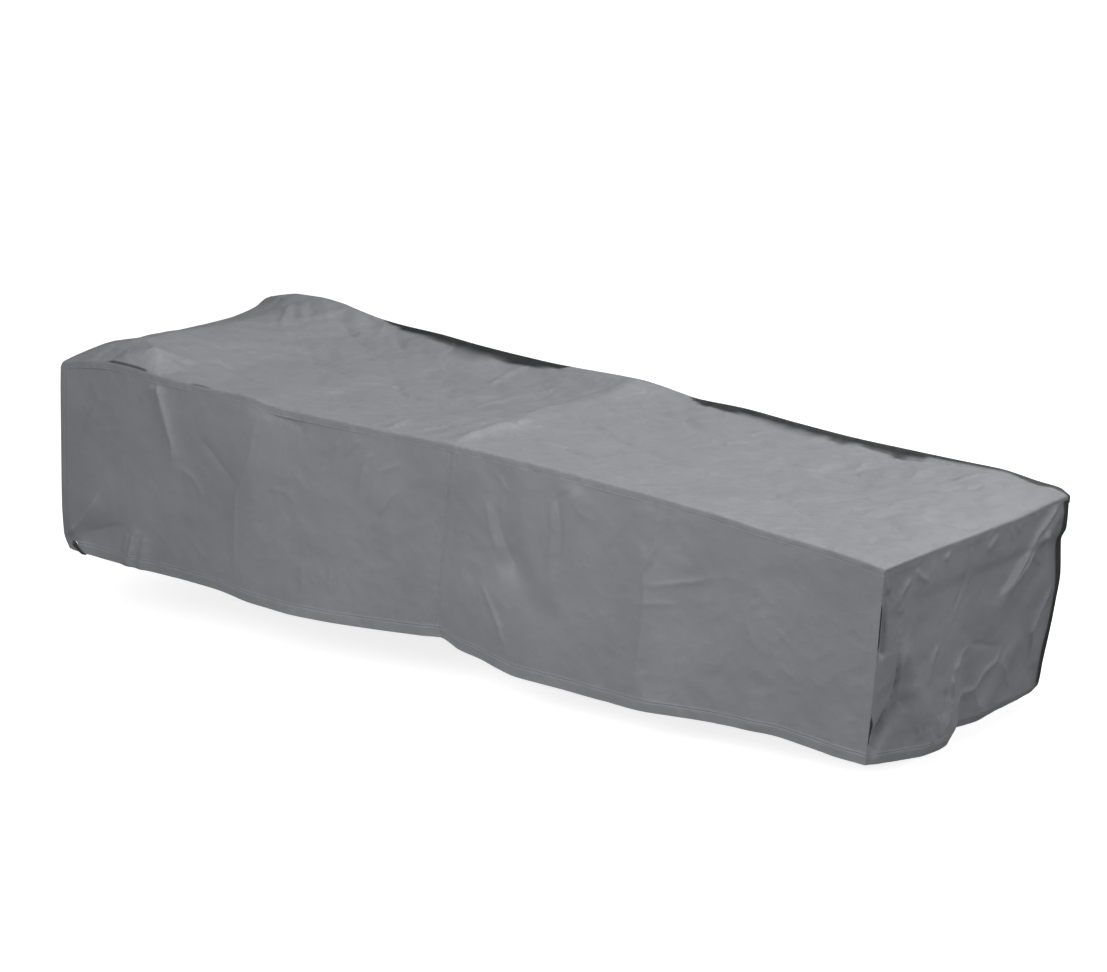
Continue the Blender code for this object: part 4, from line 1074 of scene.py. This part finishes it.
def swept_cord():
    """The closed cord as one tube with a braided surface."""
    route = np.array(CORD_PLACES)
    route = np.concatenate([route, route[:1]])
    reach = np.concatenate([[0.0], np.cumsum(np.linalg.norm(np.diff(route, axis=0), axis=1))])
    fine = np.linspace(0.0, reach[-1], CORD_RINGS, endpoint=False)
    middle = np.stack([np.interp(fine, reach, route[:, k]) for k in range(3)], axis=-1)
    for _ in range(6):
        middle = (np.roll(middle, 1, axis=0) + 2 * middle + np.roll(middle, -1, axis=0)) / 4
    along = np.roll(middle, -1, axis=0) - np.roll(middle, 1, axis=0)
    along /= np.linalg.norm(along, axis=1)[:, None]
    side = np.empty_like(along)
    side[0] = np.cross(along[0], (0.3, 0.5, 0.8))
    for n in range(1, CORD_RINGS):
        side[n] = side[n - 1] - along[n] * (side[n - 1] @ along[n])
        side[n] /= np.linalg.norm(side[n])
    side[0] /= np.linalg.norm(side[0])
    other = np.cross(along, side)
    turn = np.linspace(0.0, 2 * math.pi, CORD_SIDES, endpoint=False)
    wind = 2 * math.pi * fine[:, None] / BRAID_TURN
    strands = np.maximum(np.cos(4 * (turn + wind)), np.cos(4 * (turn - wind)))
    radius = CORD_RADIUS - 0.00016 + 0.00012 * strands
    around = (side[:, None] * np.cos(turn)[None, :, None]
              + other[:, None] * np.sin(turn)[None, :, None])
    places = middle[:, None] + around * radius[..., None]
    faces = []
    for n in range(CORD_RINGS):
        after = (n + 1) % CORD_RINGS
        for k in range(CORD_SIDES):
            beside = (k + 1) % CORD_SIDES
            faces.append([n * CORD_SIDES + k, n * CORD_SIDES + beside,
                          after * CORD_SIDES + beside, after * CORD_SIDES + k])
    mesh = bpy.data.meshes.new("elastic_cord")
    mesh.from_pydata(places.reshape(-1, 3), [], faces)
    mesh.shade_smooth()
    piece = bpy.data.objects.new("elastic_cord", mesh)
    bpy.context.scene.collection.objects.link(piece)
    print("cord length %.3f m" % reach[-1])
    return piece


cord = swept_cord()

# %% [markdown]
# The cloth is a plain weave of fine polyester threads with a thin coating. Up close it shows the
# threads, and from a step away a soft sheen and small handling marks. The weave follows the cloth,
# so it reads the panel's own UV map, which is in metres. Effects that more than one finish uses
# are node groups, which put out heights and masks only.

# %% Shader groups
def new_group(name, inputs, outputs):
    """An empty shader group with number inputs and outputs, besides one vector input."""
    group = bpy.data.node_groups.new(name, "ShaderNodeTree")
    group.interface.new_socket("Vector", in_out="INPUT", socket_type="NodeSocketVector")
    for title, value in inputs:
        socket = group.interface.new_socket(title, in_out="INPUT", socket_type="NodeSocketFloat")
        socket.default_value = value
    for title in outputs:
        group.interface.new_socket(title, in_out="OUTPUT", socket_type="NodeSocketFloat")
    return group, group.nodes.new("NodeGroupInput"), group.nodes.new("NodeGroupOutput")


def math_node(tree, kind, first, second=None, clamp=False):
    """A Math node fed by sockets or numbers."""
    node = tree.nodes.new("ShaderNodeMath")
    node.operation = kind
    node.use_clamp = clamp
    for slot, value in enumerate((first, second)):
        if isinstance(value, (int, float)):
            node.inputs[slot].default_value = value
        elif value is not None:
            tree.links.new(value, node.inputs[slot])
    return node.outputs[0]


def noise_node(tree, vector, size, per_metre, detail):
    """A Noise texture with this many bumps in a metre, times a size."""
    node = tree.nodes.new("ShaderNodeTexNoise")
    tree.links.new(vector, node.inputs["Vector"])
    tree.links.new(math_node(tree, "MULTIPLY", size, per_metre), node.inputs["Scale"])
    node.inputs["Detail"].default_value = detail
    return node.outputs["Fac"]


print("helpers for shader groups are ready")

# %% [markdown]
# The weave counts threads along both ways of the cloth. Where the two counts add up to an even
# number one thread is on top, and elsewhere the other. The marks are several noises: two folded at
# their middle value for wrinkles, and two plain ones for the drift of the colour.

# %% Weave and handling marks
def weave_group():
    """Plain weave from metre UVs: Height of the threads, and Gap between them."""
    tree, given, result = new_group("plain_weave", [("Threads per Metre", 1600.0)],
                                    ["Height", "Gap"])
    split = tree.nodes.new("ShaderNodeSeparateXYZ")
    tree.links.new(given.outputs["Vector"], split.inputs[0])
    count = given.outputs["Threads per Metre"]
    u = math_node(tree, "MULTIPLY", split.outputs[0], count)
    v = math_node(tree, "MULTIPLY", split.outputs[1], count)

    def rounded_thread(threads):
        turned = math_node(tree, "MULTIPLY", threads, math.pi)
        return math_node(tree, "ABSOLUTE", math_node(tree, "SINE", turned))

    across, beside = rounded_thread(u), rounded_thread(v)
    turn = math_node(tree, "ADD", math_node(tree, "FLOOR", u), math_node(tree, "FLOOR", v))
    over = math_node(tree, "PINGPONG", turn, 1.0)
    warp = math_node(tree, "MULTIPLY", across, over)
    weft = math_node(tree, "MULTIPLY", beside, math_node(tree, "SUBTRACT", 1.0, over))
    height = math_node(tree, "ADD", warp, weft)
    gap = math_node(tree, "SUBTRACT", 1.0, math_node(tree, "MAXIMUM", across, beside), clamp=True)
    tree.links.new(height, result.inputs["Height"])
    tree.links.new(gap, result.inputs["Gap"])
    return tree


def marks_group():
    """Handling marks on coated cloth: Height of fine wrinkles, and Tone of scuffs and dust."""
    tree, given, result = new_group("handling_marks", [("Size", 1.0)], ["Height", "Tone"])
    fine, wide, cloud, speck = (
        noise_node(tree, given.outputs["Vector"], given.outputs["Size"], per_metre, detail)
        for per_metre, detail in ((55.0, 4.0), (13.0, 2.0), (6.0, 5.0), (420.0, 2.0)))
    bent, folded = (math_node(tree, "ABSOLUTE", math_node(tree, "SUBTRACT", bumps, 0.5))
                    for bumps in (fine, wide))
    for title, parts in (("Height", ((bent, -0.16), (folded, -1.0))),
                         ("Tone", ((cloud, 0.75), (speck, 0.25)))):
        shares = [math_node(tree, "MULTIPLY", part, share) for part, share in parts]
        tree.links.new(math_node(tree, "ADD", *shares), result.inputs[title])
    return tree


WEAVE, MARKS = weave_group(), marks_group()
print("groups:", [g.name for g in (WEAVE, MARKS)])

# %% [markdown]
# Each finish is one Principled shader. The cloth's colour and gloss drift a little with its
# handling marks, its colour is darker in the gaps of the weave, and two Bump nodes in a row add the
# fine wrinkles and then the threads.

# %% Helpers for finishes
def principled(name):
    """A new material's node tree and its Principled shader."""
    material = bpy.data.materials.new(name)
    material.use_nodes = True
    tree = material.node_tree
    return material, tree, tree.nodes["Principled BSDF"]


def use_group(tree, group, vector, **values):
    """A group's node, fed with coordinates and numbers."""
    node = tree.nodes.new("ShaderNodeGroup")
    node.node_tree = group
    tree.links.new(vector, node.inputs["Vector"])
    for title, value in values.items():
        node.inputs[title.replace("_", " ")].default_value = value
    return node


def bump(tree, height, distance, strength, normal=None):
    """A Bump node, on top of another one's normal if there is one."""
    node = tree.nodes.new("ShaderNodeBump")
    node.inputs["Distance"].default_value = distance
    node.inputs["Strength"].default_value = strength
    tree.links.new(height, node.inputs["Height"])
    if normal is not None:
        tree.links.new(normal, node.inputs["Normal"])
    return node.outputs["Normal"]


def mix_colour(tree, factor, first, second):
    """Two colours, or a socket and a colour, mixed by a mask."""
    node = tree.nodes.new("ShaderNodeMix")
    node.data_type = "RGBA"
    tree.links.new(factor, node.inputs[0])
    for socket, value in ((node.inputs[6], first), (node.inputs[7], second)):
        if isinstance(value, tuple):
            socket.default_value = (*value, 1.0)
        else:
            tree.links.new(value, socket)
    return node.outputs[2]


def spread(tree, value, low, high, to_low=0.0, to_high=1.0):
    """A value's range stretched to another one."""
    node = tree.nodes.new("ShaderNodeMapRange")
    tree.links.new(value, node.inputs["Value"])
    node.inputs["From Min"].default_value, node.inputs["From Max"].default_value = low, high
    node.inputs["To Min"].default_value, node.inputs["To Max"].default_value = to_low, to_high
    return node.outputs["Result"]


print("helpers for finishes are ready")

# %% [markdown]
# The cloth is slate grey, and turns nearly black where shade is painted into its colour. The top
# has the same cloth as the walls with deeper packing wrinkles, because nothing pulls it smooth as a
# wall's own weight does.

# %% Coated cloth
SHADE_COLOUR = (0.014, 0.016, 0.016)    # painted shade, mixed into the cloth's colour where it is in shade
SLATE = (0.166, 0.169, 0.181), (0.190, 0.193, 0.206)


def coated_cloth(name, dark, light, creased):
    """The cloth's finish; creased is the depth of its handling wrinkles in metres."""
    material, tree, shader = principled(name)
    coordinates = tree.nodes.new("ShaderNodeTexCoord")
    weave = use_group(tree, WEAVE, coordinates.outputs["UV"])
    marks = use_group(tree, MARKS, coordinates.outputs["Object"])
    tone = spread(tree, marks.outputs["Tone"], 0.36, 0.64)
    colour = mix_colour(tree, tone, dark, light)
    gap = spread(tree, weave.outputs["Gap"], 0.3, 1.0, 0.0, 0.35)
    woven = mix_colour(tree, gap, colour, tuple(0.55 * c for c in dark))
    # painted shade: the vertex value mixes the near-black shade colour into the cloth
    shade_mask = tree.nodes.new("ShaderNodeAttribute")
    shade_mask.attribute_name = "painted_shade_value"
    shown = mix_colour(tree, shade_mask.outputs["Fac"], woven, SHADE_COLOUR)
    tree.links.new(shown, shader.inputs["Base Color"])
    gloss = spread(tree, marks.outputs["Tone"], 0.35, 0.65, 0.56, 0.47)
    tree.links.new(gloss, shader.inputs["Roughness"])
    shader.inputs["Specular IOR Level"].default_value = 0.40
    shader.inputs["Sheen Weight"].default_value = 0.08
    shader.inputs["Sheen Roughness"].default_value = 0.5
    wrinkles = bump(tree, marks.outputs["Height"], creased, 0.90)
    threads = bump(tree, weave.outputs["Height"], 0.00012, 0.5, wrinkles)
    tree.links.new(threads, shader.inputs["Normal"])
    return material


WALL_FINISH = coated_cloth("slate_coated_cloth", *SLATE, 0.0040)
TOP_FINISH = coated_cloth("slate_coated_cloth_creased", *SLATE, 0.0120)
print("cloth:", WALL_FINISH.name, TOP_FINISH.name)

# %% [markdown]
# Thread, cord and metal are small, so one helper gives each a colour that drifts with its marks.
# The thread is lighter than the cloth, and the metal of the eyelets is plated and half glossy.

# %% Thread, cord and metal
def marked(name, size, dark, light):
    """A finish between two colours, with handling marks this many times finer than the cloth's."""
    material, tree, shader = principled(name)
    coordinates = tree.nodes.new("ShaderNodeTexCoord")
    marks = use_group(tree, MARKS, coordinates.outputs["Object"], Size=size)
    tone = spread(tree, marks.outputs["Tone"], 0.35, 0.65)
    tree.links.new(mix_colour(tree, tone, dark, light), shader.inputs["Base Color"])
    return material, tree, shader, marks


def thread_finish(name, colour):
    """Twisted or braided thread of this colour."""
    material, tree, shader, marks = marked(name, 8.0, tuple(0.85 * c for c in colour), colour)
    shader.inputs["Roughness"].default_value = 0.6
    tree.links.new(bump(tree, marks.outputs["Height"], 0.0002, 0.5), shader.inputs["Normal"])
    return material


def plated_metal(name):
    """Bright plated metal, dulled a little by handling."""
    material, tree, shader, marks = marked(name, 6.0, (0.42, 0.42, 0.42), (0.60, 0.60, 0.61))
    shader.inputs["Metallic"].default_value = 1.0
    gloss = spread(tree, marks.outputs["Tone"], 0.3, 0.7, 0.26, 0.42)
    tree.links.new(gloss, shader.inputs["Roughness"])
    tree.links.new(bump(tree, marks.outputs["Height"], 0.0003, 0.25), shader.inputs["Normal"])
    return material


THREAD_FINISH = thread_finish("slate_thread", (0.300, 0.305, 0.310))
CORD_FINISH = thread_finish("black_braid", (0.016, 0.016, 0.017))
METAL_FINISH = plated_metal("nickel_plate")
print("small finishes:", [m.name for m in (THREAD_FINISH, CORD_FINISH, METAL_FINISH)])

# %% [markdown]
# Each piece gets its finish as its only material. The eyelets are used as they were measured,
# because a pressed ring has no more to it than the solid shows.

# %% Dress the pieces
def wear(piece, material):
    """Make this the piece's only material."""
    piece.data.materials.clear()
    piece.data.materials.append(material)


wear(top, TOP_FINISH)
for piece in walls.values():
    wear(piece, WALL_FINISH)
for piece in stitch_pieces:
    wear(piece, THREAD_FINISH)
wear(cord, CORD_FINISH)
for name in ("eyelet_front", "eyelet_head"):
    wear(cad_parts[name], METAL_FINISH)
print("dressed:", len(walls) + len(stitch_pieces) + 4, "pieces")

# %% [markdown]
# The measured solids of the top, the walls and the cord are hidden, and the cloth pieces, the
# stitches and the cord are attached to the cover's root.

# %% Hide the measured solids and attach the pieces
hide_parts("top_panel")
for node, piece in walls.items():
    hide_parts(node)
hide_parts("corner_cord")
for piece in (top, *walls.values(), *stitch_pieces):
    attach(piece, "root")
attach(cord, "root")
print("walls:", sorted(walls))

# %% [markdown]
# The ground is a wide white plane. It glows faintly, so that it shows as an even white like the
# paper of a studio, and the soft shadow under the cover still falls on it. Its glow isn't allowed
# to reach the cover, which would be lit from below.

# %% Ground
bpy.ops.object.select_all(action="DESELECT")
bpy.ops.mesh.primitive_plane_add(size=120.0, location=(0.0, 0.0, GROUND))
ground = bpy.context.object
ground.name = "ground"
paper, tree, shader = principled("pale_ground")
shader.inputs["Base Color"].default_value = (0.64, 0.64, 0.64, 1.0)
shader.inputs["Roughness"].default_value = 0.9
shader.inputs["Specular IOR Level"].default_value = 0.1
shader.inputs["Emission Color"].default_value = (1.0, 1.0, 1.0, 1.0)
shader.inputs["Emission Strength"].default_value = 0.80
wear(ground, paper)
ground.visible_diffuse = False
ground.visible_glossy = False
print("ground at %.3f m" % GROUND)

# %% [markdown]
# The picture was taken under plain soft studio light. Four wide lamps stand round the cover, two of
# them at the front. A sun lamp is as strong far away as it is near, and two of them give the even
# part of the light. The one from the foot end is low, and its grazing light is what shows the
# creases of the top. How strong each lamp is was found by rendering the cover under each one
# alone, and fitting the sum to the tones of the real cover.

# %% Lamps
LAMPS = (
    # name, kind, stands at, aimed at, strength, width in metres or sun's angle in degrees
    ("over_foot", "AREA", (0.9, 0.3, 2.2), (0.8, 0.1, 0.0), 50.6, 1.6),
    ("front", "AREA", (0.0, -3.0, 1.6), (0.0, 0.0, -0.1), 42.0, 1.6),
    ("front_low", "AREA", (0.3, -2.6, 0.3), (0.2, 0.0, -0.2), 31.1, 1.6),
    ("behind", "AREA", (0.6, 2.6, 1.6), (0.2, 0.0, 0.0), 17.0, 1.6),
    ("from_the_foot", "SUN", (9.25, 1.63, 3.42), (0.0, 0.0, 0.0), 2.23, 30),
    ("from_the_front", "SUN", (0.0, -8.66, 5.00), (0.0, 0.0, 0.0), 0.65, 40),
)
for name, kind, place, aim, energy, width in LAMPS:
    data = bpy.data.lights.new(name, kind)
    data.energy = energy
    if kind == "AREA":
        data.size = width
    else:
        data.angle = math.radians(width)
    light = bpy.data.objects.new(name, data)
    bpy.context.scene.collection.objects.link(light)
    light.location = place
    light.rotation_euler = (Vector(aim) - Vector(place)).to_track_quat("-Z", "Y").to_euler()

world = bpy.data.worlds.new("studio")
world.use_nodes = True
world.node_tree.nodes["Background"].inputs["Color"].default_value = (1.0, 1.0, 1.0, 1.0)
world.node_tree.nodes["Background"].inputs["Strength"].default_value = 0.07
bpy.context.scene.world = world
bpy.context.scene.view_settings.view_transform = "Standard"
print("lamps:", [name for name, *_ in LAMPS])
